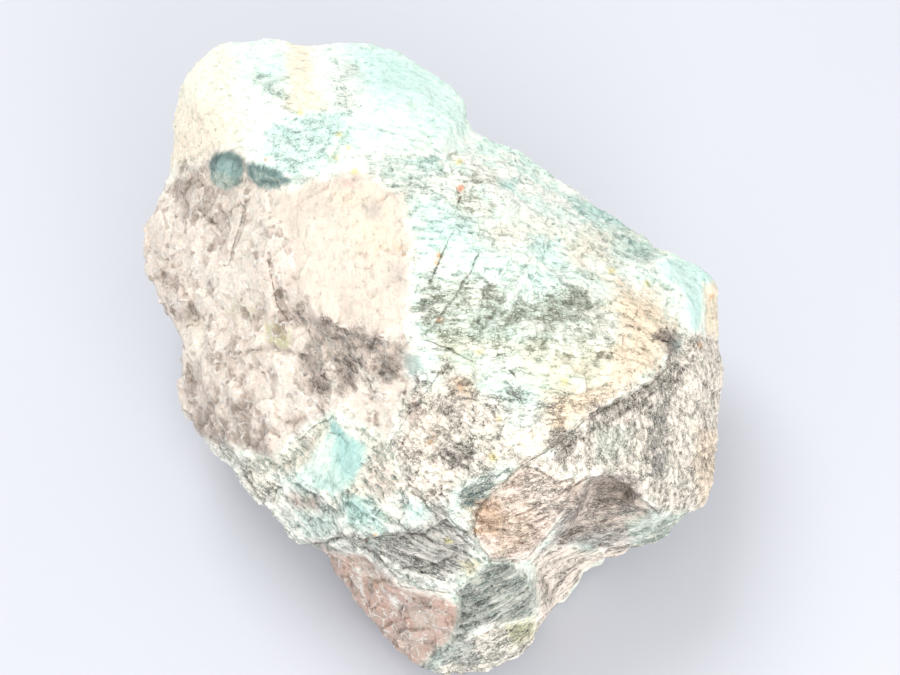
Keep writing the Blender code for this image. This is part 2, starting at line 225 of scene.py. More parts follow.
def clouds(points, size, seed=0):
    """Soft noise, mostly between -0.7 and 0.7, whose lumps are as wide as the size, in mm."""
    x, y, z = np.asarray(points / size, dtype=np.float32).T
    corner = [np.floor(part) for part in (x, y, z)]
    inner = [part - whole for part, whole in zip((x, y, z), corner)]
    soft = [part * part * part * (part * (part * 6 - 15) + 10) for part in inner]
    total = np.zeros(len(points), dtype=np.float32)
    for step in np.ndindex(2, 2, 2):
        slopes = cell_numbers(*(whole + one for whole, one in zip(corner, step)), seed)
        weight = 1
        height = 0
        for slope, part, blend, one in zip(slopes, inner, soft, step):
            weight = weight * (blend if one else 1 - blend)
            height = height + slope * (part - one)
        total += weight * height
    return CLOUD_GAIN * total


def drawn_out(points, direction, length, width):
    """Places squeezed so that a pattern on them comes out so long along a direction and so wide across it."""
    run = (points * direction).sum(1, keepdims=True)
    return points / width + run * direction * (1 / length - 1 / width)


def chips(points, seed=0):
    """For points in chip sizes: three numbers of each point's own chip, and the way from its middle."""
    places = np.asarray(points, dtype=np.float32).T
    corner = np.floor(places)
    nearest = np.full(len(points), 9, dtype=np.float32)
    away = np.zeros_like(places)
    own = np.zeros_like(places)
    for step in np.ndindex(3, 3, 3):
        cell = [whole + one - 1 for whole, one in zip(corner, step)]
        middle = cell_numbers(*cell, seed)
        reach = [place - whole - 0.5 - 0.45 * part for place, whole, part in zip(places, cell, middle)]
        reach = np.stack(reach)
        distance = np.sqrt((reach * reach).sum(0))
        closer = distance < nearest
        nearest = np.where(closer, distance, nearest)
        away = np.where(closer, reach, away)
        own = np.where(closer, np.stack(cell_numbers(*cell, seed + 101)), own)
    return own.T, away.T


def chip_relief(points, size, height, tilt, seed):
    """Relief in mm of chips that are so wide, raised up to the height and tilted up to the tilt."""
    own, away = chips(points / size, seed)
    return height * own[:, 0] + tilt * size * (own * away).sum(1)


def steps(points, direction, spacing, sharpness=0.12, waviness=0.5):
    """A saw edge from -0.5 to 0.5: it rises along the direction and then drops within the sharpness."""
    run = (points * direction).sum(1) / spacing
    run = run + waviness * clouds(points, 3 * spacing) + 0.25 * clouds(points, spacing)
    run %= 1
    return np.where(run < 1 - sharpness, run / (1 - sharpness), (1 - run) / sharpness) - 0.5


def smooth_step(value, start, end):
    """0 before the start, 1 after the end, and a soft rise between them."""
    part = np.clip((value - start) / (end - start), 0, 1)
    return part * part * (3 - 2 * part)


print("a cloud's range:", clouds(places[:2000], 5).min().round(2), clouds(places[:2000], 5).max().round(2))

# %% [markdown]
# ## Outlines on the face
#
# Each mineral is an outline on the face, in mm across and up as one sees it. `depth_inside` tells how deep
# a point lies inside an outline, and `mask` makes that a soft mask. Clouds make its edge ragged, because
# crystals grow into each other and no border between them is a straight cut.
#
# Behind the face's rim, where no one sees the outlines, the masks fade out, and large clouds say which
# mineral is there.

# %% Outlines, lines and masks
# How far behind the face's middle the masks start to fade out and where they end, in mm.
FADE_START, FADE_END = -24, -38


def depth_inside(seen, outline):
    """How deep each point lies inside an outline, in mm. Outside it is less than nothing."""
    across, up = seen[:, 0], seen[:, 1]
    nearest = np.full(len(seen), 1e9)
    odd = np.zeros(len(seen), dtype=bool)
    for (x0, y0), (x1, y1) in zip(outline, outline[1:] + outline[:1]):
        dx, dy = x1 - x0, y1 - y0
        part = np.clip(((across - x0) * dx + (up - y0) * dy) / (dx * dx + dy * dy), 0, 1)
        nearest = np.minimum(nearest, (across - x0 - part * dx) ** 2 + (up - y0 - part * dy) ** 2)
        if dy:
            odd ^= ((y0 > up) != (y1 > up)) & (across < x0 + (up - y0) * dx / dy)
    return np.where(odd, 1, -1) * np.sqrt(nearest)


def near_line(seen, line):
    """Which side of a line each point lies on and how far, in mm, and how far it is past the line's ends."""
    across, up = seen[:, 0], seen[:, 1]
    side = np.full(len(seen), 1e9)
    past = np.zeros(len(seen))
    last = len(line) - 2
    for i, ((x0, y0), (x1, y1)) in enumerate(zip(line, line[1:])):
        dx, dy = x1 - x0, y1 - y0
        length = math.hypot(dx, dy)
        run = ((across - x0) * dx + (up - y0) * dy) / length
        kept = np.clip(run, 0, length)
        off = np.hypot(across - x0 - kept * dx / length, up - y0 - kept * dy / length)
        closer = off < np.abs(side)
        turn = np.where(dx * (up - y0) - dy * (across - x0) < 0, -1.0, 1.0)
        side = np.where(closer, turn * off, side)
        over = np.where(i == 0, np.maximum(-run, 0), 0) + np.where(i == last, np.maximum(run - length, 0), 0)
        past = np.where(closer, over, past)
    return side, past


def behind_is_quartz(points):
    """Where the side that no one sees is quartz, from 0 to 1."""
    return smooth_step(clouds(points, 34, 11), 0.05, 0.15)


class Spots:
    """Points of the stone, with what many masks need worked out once."""

    def __init__(self, points):
        self.points = points
        self.seen = as_seen(points)
        self.front = smooth_step(self.seen[:, 2], FADE_END, FADE_START)
        self.wide = clouds(points, 6, 31) + 0.5 * clouds(points, 2.6, 57)
        self.fine = clouds(points, 1.5, 33) + 0.5 * clouds(points, 0.8, 35)

    def mask(self, outline):
        """From 0 outside an outline to 1 inside it, on the side that one sees."""
        depth = depth_inside(self.seen, outline) + (self.wide + 0.6 * self.fine)
        return self.front * smooth_step(depth, -1, 1)


spots = Spots(corner_places(stone))
print("share of the corners on the side one sees:", spots.front.mean().round(2))

# %% [markdown]
# ## How each mineral breaks
#
# Every mineral breaks in its own way. A table gives, for each zone of the face, which way its grain runs,
# in degrees from level, and seven strengths. Lumps and grains are the rounded, glassy break of quartz.
# Flakes and ridges follow the grain of feldspar. Layers are the thin sheets of the dark foliated parts. The
# last two are for the material alone: how far its patterns are drawn out along the grain, and how much of
# the zone is quartz.
#
# The zones are laid over each other in their order, as coats of paint are.

# %% The table of zones
LOOKS = ("lumps", "grains", "flakes", "ridges", "layers", "streaks", "quartz")
EVERYWHERE = (-4, (0.15, 0.25, 0.6, 0.2, 0.12, 0.6, 0.0))
ZONES = {
    "crown": (-22, (0.1, 0.15, 0.3, 0.12, 0.0, 0.5, 0.0), [
        (-72.8, 43.8), (-69, 63.1), (-62.6, 78.5), (-49.7, 84.9), (-8.7, 83.6), (11.8, 65.6), (11.8, 55.4),
        (1.5, 52.3), (-8.7, 52.3), (-15.9, 46.2), (-26.7, 45.6), (-36.4, 42.6), (-44.1, 43.1),
        (-48.2, 51.3), (-55.9, 52.8), (-60, 48.7)]),
    "facet": (-15, (0.1, 0.4, 0.6, 0.14, 0.0, 0.25, 0.0), [
        (-45.4, 58.5), (-36.4, 61.3), (-33.1, 62.6), (-23.6, 62.3), (-22.6, 57.4), (-25.6, 52.6),
        (-31.3, 46.4), (-36.4, 45.6), (-39.7, 47.7), (-43.6, 53.6)]),
    "quartz": (-50, (0.38, 0.3, 0.0, 0.05, 0.0, 0.3, 1.0), [
        (-67.2, 44.6), (-60, 48.7), (-55.9, 52.8), (-48.2, 51.3), (-44.1, 43.1), (-36.4, 42.6),
        (-26.7, 45.6), (-15.9, 46.2), (-8.7, 41), (-5.6, 29.7), (-6.2, 16.4), (-8.2, 8.7), (-5.6, 1),
        (-5.1, -7.7), (-9.7, -14.4), (-11.8, -21.5), (-18.5, -17.9), (-25.4, -14.4), (-29.7, -16.4),
        (-35.4, -20.5), (-40.8, -26.2), (-49.7, -24.6), (-52.8, -27.7), (-58.7, -23.1), (-63.3, -17.4),
        (-67.2, -10.3), (-68.2, 6.4), (-74.1, 13.6), (-75.9, 20.3), (-76.4, 29), (-75.4, 34.6),
        (-71.5, 40.3)]),
    "ball": (60, (0.0, 0.2, 0.0, 0.2, 0.0, 0.5, 0.0), [
        (-58.2, 50.3), (-55.9, 52.8), (-51.8, 53.3), (-48.2, 50.3), (-44.1, 50.3), (-39.5, 48.2),
        (-35.9, 44.9), (-38.5, 42.1), (-44.1, 42.3), (-48.7, 44.1), (-52.8, 42.6), (-56.9, 44.1)]),
    "plate": (-84, (0.2, 0.12, 0.15, 0.08, 0.0, 0.6, 0.25), [
        (-44.1, 42.6), (-36.4, 42.6), (-26.7, 45.6), (-15.9, 46.2), (-8.7, 41), (-5.6, 29.7), (-6.2, 16.4),
        (-8.2, 8.7), (-13.8, 5.1), (-24.1, 8.7), (-31.3, 11.8), (-34.9, 19.5), (-36.9, 29.7),
        (-41.5, 36.2)]),
    "smoky": (-48, (0.3, 0.4, 0.2, 0.3, 0.0, 0.9, 0.55), [
        (-39.5, 14.4), (-33.3, 11.8), (-24.1, 7.9), (-15.9, 6.2), (-8.2, 3.1), (-7.2, -3.1), (-10.8, -7.7),
        (-14.9, -7.2), (-19, -9.2), (-22.6, -11.3), (-27.7, -8.7), (-32.8, -7.2), (-35.9, -3.1),
        (-34.9, 1.5), (-31.3, 4.6), (-34.9, 8.7)]),
    "terraces": (-38, (0.4, 0.5, 0.5, 0.1, 0.55, 0.75, 0.1), [
        (-58.7, -21.5), (-49.7, -24.6), (-40.8, -26.2), (-35.4, -20.5), (-29.7, -16.4), (-25.4, -14.4),
        (-18.5, -17.9), (-11.8, -21.5), (-7.4, -34.1), (-1, -41), (9.7, -47.2), (13.8, -53.3), (9.2, -57.4),
        (3.6, -62.1), (-8.7, -60.5), (-15.9, -56.9), (-22.8, -51.3), (-29.7, -51.3), (-36.9, -48.5),
        (-44.1, -40.8), (-51, -32.8)]),
    "teal_crystals": (48, (0.1, 0.2, 0.25, 0.1, 0.0, 0.8, 0.0), [
        (-26.4, -16.2), (-23.1, -19), (-17.7, -22.3), (-16.9, -24.4), (-19.2, -28.2), (-22.1, -32.8),
        (-25.9, -36.2), (-30.3, -33.8), (-35.4, -31), (-31.5, -25.4)]),
    "grey_layers": (-28, (0.1, 0.3, 0.2, 0.2, 0.8, 0.9, 0.0), [
        (-26.7, -44.6), (-15.1, -44.6), (-8.2, -45.6), (1.5, -36.9), (10.3, -47.4), (10.3, -53.8),
        (1.5, -58.5), (-8.7, -54.9), (-17.7, -50.3)]),
    "lower_quartz": (-55, (0.35, 0.3, 0.0, 0.05, 0.0, 0.3, 1.0), [
        (-29.7, -50.3), (-22.8, -51.3), (-17.7, -51.3), (-12.6, -55.9), (-7.7, -60), (1, -61.3),
        (6.2, -63.6), (6.2, -68.7), (4.1, -73.3), (-4.9, -82.1), (-12.6, -77.9), (-19, -69), (-25.4, -60)]),
    "toe": (34, (0.1, 0.2, 0.2, 0.3, 0.9, 1.0, 0.0), [
        (5.9, -58.7), (13.3, -53.3), (18.5, -52.3), (23.3, -55.6), (26.4, -61.3), (25.4, -67.4),
        (19, -69.2), (12.8, -69.2), (5.4, -74.4), (-0.3, -80), (-6.7, -82.1), (4.9, -71.8), (6.7, -66.2)]),
    "toe_foot": (30, (0.3, 0.5, 0.4, 0.2, 0.5, 0.8, 0.0), [
        (4.9, -74.4), (12.8, -69.2), (19, -68.7), (27.2, -67.2), (27.2, -75.4), (20, -83.1),
        (-2.3, -83.1)]),
    "underside": (28, (0.1, 0.3, 0.3, 0.2, 0.5, 0.95, 0.0), [
        (24.9, -51.5), (32.3, -47.2), (42.6, -49.2), (55.4, -42.1), (66.9, -39.5), (66.9, -48.5),
        (52.8, -52.3), (42.6, -58.7), (32.3, -69), (25.6, -72.8), (26.2, -62.6)]),
    "hollow": (4, (0.1, 0.2, 0.1, 0.2, 0.3, 0.8, 0.0), [
        (39, -30.8), (43.3, -29.7), (52.8, -30.8), (55.4, -40), (57.9, -42.1), (52.8, -47.2), (42.6, -49.2),
        (31.3, -48.5), (27.2, -51.3), (31.8, -42.1), (36.2, -36.9)]),
    "middle": (-32, (0.3, 0.5, 0.5, 0.15, 0.1, 0.15, 0.0), [
        (3.8, -2.1), (-3.6, -9.7), (-8.7, -17.7), (-11.5, -22.8), (-7.4, -34.1), (-1, -39), (5.6, -34.9),
        (13.6, -30.8), (19.5, -28.2), (23.8, -26.7), (23.3, -25.6), (20, -21.5), (17.7, -17.9),
        (16.9, -13.8), (11.8, -9.2), (9.2, -4.9)]),
    "shoulder": (-72, (0.2, 0.6, 0.1, 0.35, 0.0, 0.05, 0.0), [
        (23.8, -27.4), (30.3, -25.1), (32.3, -21.5), (37.7, -16.9), (42.6, -13.3), (52.1, -9), (61, -2.1),
        (65.6, 5.4), (75.9, 6.7), (75.9, -36.9), (68.2, -42.1), (56.7, -40.8), (52.8, -36.9), (49.7, -32.3),
        (40, -30.3), (32.3, -32.8)]),
    "block": (22, (0.3, 0.5, 0.2, 0.2, 0.5, 0.6, 0.0), [
        (22.8, -27.9), (29.7, -29.7), (35.4, -31.3), (40, -30.3), (37.7, -35.9), (33.1, -41), (26.2, -49.7),
        (23.8, -52.1), (14.9, -52.8), (11.3, -48.5), (10.3, -43.8), (10.8, -39.5), (16.4, -33.1)]),
    "teal_band": (28, (0.1, 0.3, 0.2, 0.2, 0.5, 0.7, 0.0), [
        (3.6, -34.4), (13.6, -30.3), (19.2, -27.9), (20.5, -29.7), (15.9, -33.6), (13.1, -38.7),
        (7.9, -37.7)]),
    "corner": (-60, (0.05, 0.15, 0.3, 0.12, 0.0, 0.7, 0.0), [
        (56.7, 24.1), (61.5, 25.6), (69.5, 24.1), (73.3, 21), (72.3, 15.9), (69.2, 15.1), (69, 6.7),
        (65.6, 5.6), (65.1, 13.1), (63.6, 17.9), (58.7, 19.5)]),
}


def painted_looks(spots):
    """How strong each kind of detail is at each point, the angle of its grain, and the calm of borders.

    Where two zones meet, their patterns don't. There the calm goes down to 0, and so does the detail.
    """
    calm = np.ones(len(spots.points))
    angle = np.full(len(spots.points), float(EVERYWHERE[0]))
    streaks = np.full(len(spots.points), EVERYWHERE[1][LOOKS.index("streaks")])
    looks = {name: np.full(len(spots.points), value) for name, value in zip(LOOKS, EVERYWHERE[1])}
    behind_quartz = (1 - spots.front) * behind_is_quartz(spots.points)
    masks = [(behind_quartz, *ZONES["quartz"][:2])]
    masks += [(spots.mask(outline), turn, values) for turn, values, outline in ZONES.values()]
    for amount, turn, values in masks:
        angle = np.where(amount > 0.5, turn, angle)
        streaks = np.where(amount > 0.5, values[LOOKS.index("streaks")], streaks)
        calm *= smooth_step(np.abs(2 * amount - 1), 0, 0.9)
        for name, value in zip(LOOKS, values):
            looks[name] += (value - looks[name]) * amount
    looks["streaks"] = streaks
    return looks, np.radians(angle), calm


def face_directions(angle):
    """For each point, the direction in space that its grain runs along, and the one across it on the face."""
    level, turn = np.zeros_like(angle), np.array(FACE_TURN).T
    run = np.column_stack((np.cos(angle), np.sin(angle), level)) @ turn
    drop = np.column_stack((-np.sin(angle), np.cos(angle), level + 0.3)) @ turn
    return run, drop / np.linalg.norm(drop, axis=1, keepdims=True)


looks, angle, calm = painted_looks(spots)
print("mean strengths:", {name: float(values.mean().round(2)) for name, values in looks.items()})

# %% [markdown]
# ## Cracks, ledges and hollows
#
# Some lines stand out: open cracks, the dark line of the ridge, ledges where a layer ends, and the slits in
# the quartz. Their dark colour is painted shade in the cracks and slits, along the ridge's line and at the
# feet of some ledges. A groove has a depth and a width in mm, how dark the painted shade along it is, and its
# line. A ledge has a height, how far it reaches in mm, and its line. The ground is lower on the line's
# right-hand side, as one goes along it.

# %% The table of grooves and ledges
BLOCK_RIM = [
    (22.8, -27.9), (16.4, -33.6), (11.3, -39.5), (10.3, -43.8), (11.8, -48.7), (14.9, -52.6), (23.8, -51.8),
    (28.5, -46.7), (33.1, -41)
]
# Each groove: its depth and width in mm, how dark the painted shade along it is, and its line.
GROOVES = [
    (0.5, 0.4, 0.45, [(11.3, 25.9), (6.9, 17.9), (2.1, 10.8), (-0.8, 6.4)]),
    (0.5, 0.4, 0.45, [(4.9, 32.1), (1, 23.3), (-0.8, 19.2)]),
    (0.4, 0.4, 0.5, [(-1.8, 3.8), (3.6, 1.8), (9.7, -1.5)]),
    (0.3, 0.4, 0.35, [(29.7, -8.5), (34.9, -9.7), (41, -8.7), (45.6, -6.7)]),
    (1.0, 0.9, 0.6, [
        (61, -2.1), (54.9, -7.7), (49, -10.8), (42.6, -14.4), (37.7, -17.4), (32.8, -21.5), (29.2, -24.1),
        (23.8, -27.4)]),
    (0.4, 0.5, 0.3, [(56.7, -9.2), (48.2, -14.9), (40.5, -19.5), (33.8, -23.3)]),
    (0.3, 0.5, 0.4, [(23.8, -27.4), (19, -31.3), (14.9, -35.9), (11.8, -40)]),
    (0.5, 0.4, 0.5, [(22.8, -27.9), (28.5, -30.3), (32.1, -32.6), (35.9, -31.3)]),
    (0.7, 0.5, 0.5, [(-5.4, -34.9), (5.1, -44.6), (14.1, -53.1)]),
    (0.4, 0.4, 0.4, [(-3.6, -34.9), (6.2, -43.6), (13.3, -50.8)]),
    (0.4, 0.6, 0.35, [(3.3, -2.1), (-1, -7.7), (-6.2, -14.4), (-11.5, -22.8)]),
    (1.2, 0.6, 0.5, [(-48.7, 37.9), (-49.7, 33.3), (-51.5, 28.5), (-52.3, 24.6)]),
    (1.6, 0.9, 0.6, [(-42.3, 23.6), (-41.5, 18.5), (-40, 13.3), (-36.4, 7.7)]),
    (1.2, 0.7, 0.6, [(-62.6, 13.3), (-61.5, 9.2)]),
    (0.7, 0.5, 0.5, [(-60.3, 37.9), (-58.5, 35.4), (-56.4, 33.8)]),
    (0.8, 0.7, 0.5, [
        (-34.1, -48.2), (-28.7, -47.9), (-23.1, -46.4), (-16.2, -49.2), (-11.8, -54.4), (-8.5, -59.2),
        (-1.5, -60), (4.9, -61)]),
    (0.6, 0.6, 0.4, [(-51.8, -23.6), (-47.7, -31.8), (-42.8, -39), (-37.4, -45.1), (-34.1, -48.5)]),
    (0.5, 0.5, 0.45, [(-24.6, -45.6), (-18.2, -47.2), (-11.3, -45.9), (-3.3, -45.4), (0.5, -48.2)]),
    (0.5, 0.5, 0.4, [(-7.7, -54.4), (-1.5, -54.1), (5.9, -51)]),
    (0.4, 0.5, 0.3, [(-26.7, -19.5), (-24.1, -20.5), (-22.6, -22.6)]),
    (0.4, 0.4, 0.5, [(-35.4, -32.8), (-32.3, -34.9), (-29.2, -36.2)]),
    (0.4, 0.4, 0.4, [(-34.4, -21.5), (-29.7, -17.4), (-26.4, -16.2)]),
    (0.4, 0.3, 0.25, [(54.4, -10.8), (54.9, -21.5), (54.4, -30.3)]),
    (0.4, 0.4, 0.45, BLOCK_RIM),
    (0.4, 0.5, 0.45, [(36.4, -32.8), (40, -31), (44.1, -30.5), (49.7, -33.1), (53.3, -36.9), (57.4, -40)]),
    (0.3, 0.4, 0.3, [(29.2, -62.6), (32.8, -56.9), (38.5, -52.3)]),
    (0.3, 0.4, 0.3, [(28.5, -49.7), (37.4, -44.6), (49, -40)]),
    (0.3, 0.4, 0.3, [(32.3, -52.3), (42.6, -48.5), (55.4, -44.1)]),
    (0.3, 0.3, 0.9, [(18.2, -2.8), (19.7, -3.6), (20.8, -5.1)]),
    (0.3, 0.3, 0.4, [(49.5, 8.2), (53.3, 6.7), (56.7, 4.1)]),
    (0.3, 0.3, 0.5, [(5.6, 43.1), (6.9, 41), (6.2, 39)]),
]
LEDGES = [
    (1.2, 4, [(-52.3, -22.6), (-47.7, -30.8), (-42.8, -37.9), (-37.4, -44.1), (-34.1, -47.7)]),
    (1.3, 5, [
        (-28.7, -47.4), (-23.1, -45.9), (-16.2, -48.7), (-11.8, -53.8), (-8.5, -58.7), (-1.5, -59.2),
        (5.4, -60.5)]),
    (1.0, 3, [(-25.1, -45.4), (-18.2, -46.7), (-11.3, -45.4), (-3.3, -44.9), (0.5, -47.7), (9.2, -48.5)]),
    (0.8, 3, [(-8.7, -53.8), (-1.5, -53.6), (6.4, -50.3)]),
    (0.8, 3, [(-12.8, -40), (-7.7, -42.6), (-2.3, -44.6), (1.5, -42.6)]),
    (0.9, 5, [(23.6, 22.8), (19.2, 17.4), (17.2, 12.1), (12.8, 6.7)]),
    (0.7, 4, [(-44.1, 45.1), (-36.4, 45.6), (-31.3, 46.4), (-25.6, 52.6), (-22.6, 57.4)]),
    (0.3, 4, [(-33.1, 9.7), (-24.1, 7.2), (-13.8, 4.1), (-7.7, 5.1)]),
    (0.8, 4, [(-49.7, 1.5), (-40.8, 2.8), (-34.4, 1)]),
    (0.6, 3, BLOCK_RIM),
    (1.0, 4, [
        (35.4, -33.3), (40, -30.8), (44.1, -30.3), (49.7, -32.8), (53.3, -36.9), (57.9, -40), (65.6, -39)]),
    (0.7, 3, [(-21, -37.7), (-12.6, -43.1), (-10.8, -47.4), (-3.6, -44.6), (1.5, -42.6)]),
    (0.6, 4, [(32.3, 14.4), (42.6, 14.4), (52.8, 9.2), (58.5, 4.6)]),
]
# How far a line fades out past its ends, and how wide a ledge's edge is, in mm.
LINE_FADE = 1.5
LEDGE_WIDTH = 0.5


def bent_places(spots):
    """The places as one sees them, shifted by half a millimetre or so, which makes straight lines ragged."""
    bent = spots.seen.copy()
    bent[:, 0] += 0.5 * clouds(spots.points, 3, 91)
    bent[:, 1] += 0.5 * clouds(spots.points, 3, 93)
    return bent


def line_relief(spots):
    """How far the grooves and ledges move the surface, in mm."""
    bent = bent_places(spots)
    depth = np.zeros(len(bent))
    for deep, width, _, line in GROOVES:
        side, past = near_line(bent, line)
        depth -= deep * np.exp(-((side / width) ** 2)) * (1 - smooth_step(past, 0, LINE_FADE))
    for high, reach, line in LEDGES:
        side, past = near_line(bent, line)
        fall = np.clip(side / LEDGE_WIDTH, -1, 1) * np.exp(-np.abs(side) / reach)
        depth += high * fall * (1 - smooth_step(past, 0, 3 * LINE_FADE))
    return depth * spots.front


grooves = line_relief(spots)
print("deepest groove:", grooves.min().round(2), "mm")

# %% [markdown]
# ## Relief
#
# Now all kinds of detail are added up by their strengths. Near the flat spot the relief fades out, so that
# the stone still rests on it. Where a corner lies lower than those around it, it is in a small pit. In the
# paint, pits get more of the dark mineral and are darkened as painted shade, so that number is kept for the
# paint.

# %% Work out the relief and move the corners
REST_FADE = 7
PIT_BLENDS, PIT_DEPTH = 5, 0.35
FLAKE_LENGTH = 1 / 1.9


def around(obj, values, blends):
    """The values blended over and over with those of the corners around."""
    first, second = edge_ends(obj)
    shares = 1 + np.bincount(first, minlength=len(values)) + np.bincount(second, minlength=len(values))
    for _ in range(blends):
        total = values + np.bincount(first, values[second], len(values))
        values = (total + np.bincount(second, values[first], len(values))) / shares
    return values


def keep_value(obj, name, values):
    kept = obj.data.attributes.new(name, "FLOAT", "POINT")
    kept.data.foreach_set("value", np.asarray(values, dtype=np.float32))


def stone_relief(spots, looks, angle, calm):
    """How far the surface stands out at each point, in mm."""
    points = spots.points
    run, drop = face_directions(angle)
    along = drawn_out(points, run, FLAKE_LENGTH, 1)
    lumps = chip_relief(points, size=8, height=0.35, tilt=0.3, seed=3)
    lumps += chip_relief(points, size=4, height=0.2, tilt=0.35, seed=5)
    grains = chip_relief(points, size=1.9, height=0.07, tilt=0.25, seed=7)
    flakes = chip_relief(along, size=6, height=0.3, tilt=0.13, seed=9)
    flakes += chip_relief(along, size=2.4, height=0.12, tilt=0.16, seed=13)
    ridges = clouds(drawn_out(points, run, length=7, width=1.2), size=1, seed=15)
    ridges += 0.6 * clouds(drawn_out(points, run, length=3, width=0.7), size=1, seed=16)
    layers = steps(points, drop, spacing=3.2) + 0.5 * steps(points, drop, spacing=1.4)
    drawn = looks["flakes"] * flakes + looks["ridges"] * ridges + 0.8 * looks["layers"] * layers
    relief = looks["lumps"] * lumps + looks["grains"] * grains + calm * drawn
    relief += 0.1 * clouds(points, 1.2, 19)
    return relief


relief = stone_relief(spots, looks, angle, calm) + grooves
relief *= smooth_step(spots.points[:, 2], 0, REST_FADE)
pits = np.clip((around(stone, relief, PIT_BLENDS) - relief) / PIT_DEPTH, 0, 1)
keep_value(stone, "pits", pits)
moved = spots.points + outward(stone, NORMAL_BLENDS) * relief[:, None]
stone.data.vertices.foreach_set("co", (moved * MM).ravel())
stone.data.update()
print("relief from", relief.min().round(2), "to", relief.max().round(2), "mm")

# %% [markdown]
# ## Fewer triangles
#
# The even net has far more triangles than the stone needs. A Decimate modifier takes away those that lie
# flat and keeps those at edges. It works on one vertex group at a time, so that the broken face, which has
# the finest detail, keeps more of them than the weathered back.

# %% Thin the net, the face first and the back after it
MOST_TRIANGLES = 196000
FACE_TRIANGLES = 140000
SHARP_ANGLE = 40


def count_triangles(obj, chosen):
    """Triangles in all, and those of them whose corners are chosen."""
    obj.data.calc_loop_triangles()
    corners = np.empty(len(obj.data.loop_triangles) * 3, dtype=np.int64)
    obj.data.loop_triangles.foreach_get("vertices", corners)
    return len(corners) // 3, int(chosen[corners.reshape(-1, 3)].all(1).sum())


def thin(obj, name, wanted_side, wanted):
    """Decimates the corners on one side until so many triangles are left there."""
    chosen = (as_seen(corner_places(obj))[:, 2] > FADE_START) == wanted_side
    group = obj.vertex_groups.new(name=name)
    group.add(np.flatnonzero(chosen).tolist(), 1.0, "REPLACE")
    total, there = count_triangles(obj, chosen)
    if there > wanted:
        apply_modifier(obj, "DECIMATE", ratio=1 - (there - wanted) / total, vertex_group=name)
    print(name, "has", there, "triangles, and may have", wanted)


thin(stone, "broken_face", True, FACE_TRIANGLES)
thin(stone, "back", False, MOST_TRIANGLES - FACE_TRIANGLES)
stone.vertex_groups.clear()
select_only(stone)
bpy.ops.object.shade_smooth_by_angle(angle=math.radians(SHARP_ANGLE))
spots = Spots(corner_places(stone))
print("triangles:", *count_triangles(stone, spots.seen[:, 2] > FADE_START))

# %% [markdown]
# ## Colours of the minerals
#
# Every spot of the stone has a light mineral and a dark one that shows through it in flecks. The light one
# is painted in layers, from the widest to the smallest, as one would with a brush in Vertex Paint. Each
# patch has its colour, how fully it covers, its soft edge and its raggedness in mm, and its outline. A
# second table does the same for the dark mineral and says how much of it shows.

# %% The minerals' colours


def from_screen(*levels):
    """A colour given in screen levels from 0 to 255, turned into the linear values that a shader reads."""
    share = np.array(levels) / 255
    return np.where(share < 0.04045, share / 12.92, ((share + 0.055) / 1.055) ** 2.4)


WHITE = from_screen(246, 244, 235)
MINT = from_screen(228, 243, 232)
AQUA = from_screen(209, 234, 227)
TURQUOISE = from_screen(182, 218, 211)
VIVID = from_screen(166, 207, 203)
TEAL = from_screen(140, 164, 161)
DEEP_TEAL = from_screen(92, 114, 112)
GREEN_GREY = from_screen(203, 212, 199)
CREAM = from_screen(245, 235, 219)
PEACH = from_screen(243, 220, 194)
PINK = from_screen(236, 216, 203)
BEIGE = from_screen(238, 224, 212)
FROSTED = from_screen(242, 231, 218)
SMOKY = from_screen(210, 193, 180)
DARK_SMOKY = from_screen(166, 148, 136)
GREY = from_screen(186, 179, 172)
ROSE_BROWN = from_screen(190, 164, 154)
ROSE_SMOKE = from_screen(212, 177, 161)
OYSTER = from_screen(224, 209, 196)
OCHRE = from_screen(206, 160, 112)
ORANGE = from_screen(228, 124, 78)
YELLOW = from_screen(228, 212, 150)
OLIVE = from_screen(206, 202, 160)
MOSS = from_screen(121, 121, 92)
SEA = from_screen(124, 152, 146)
UMBER = from_screen(88, 75, 68)
SLATE = from_screen(90, 90, 88)
RUST = from_screen(142, 100, 76)

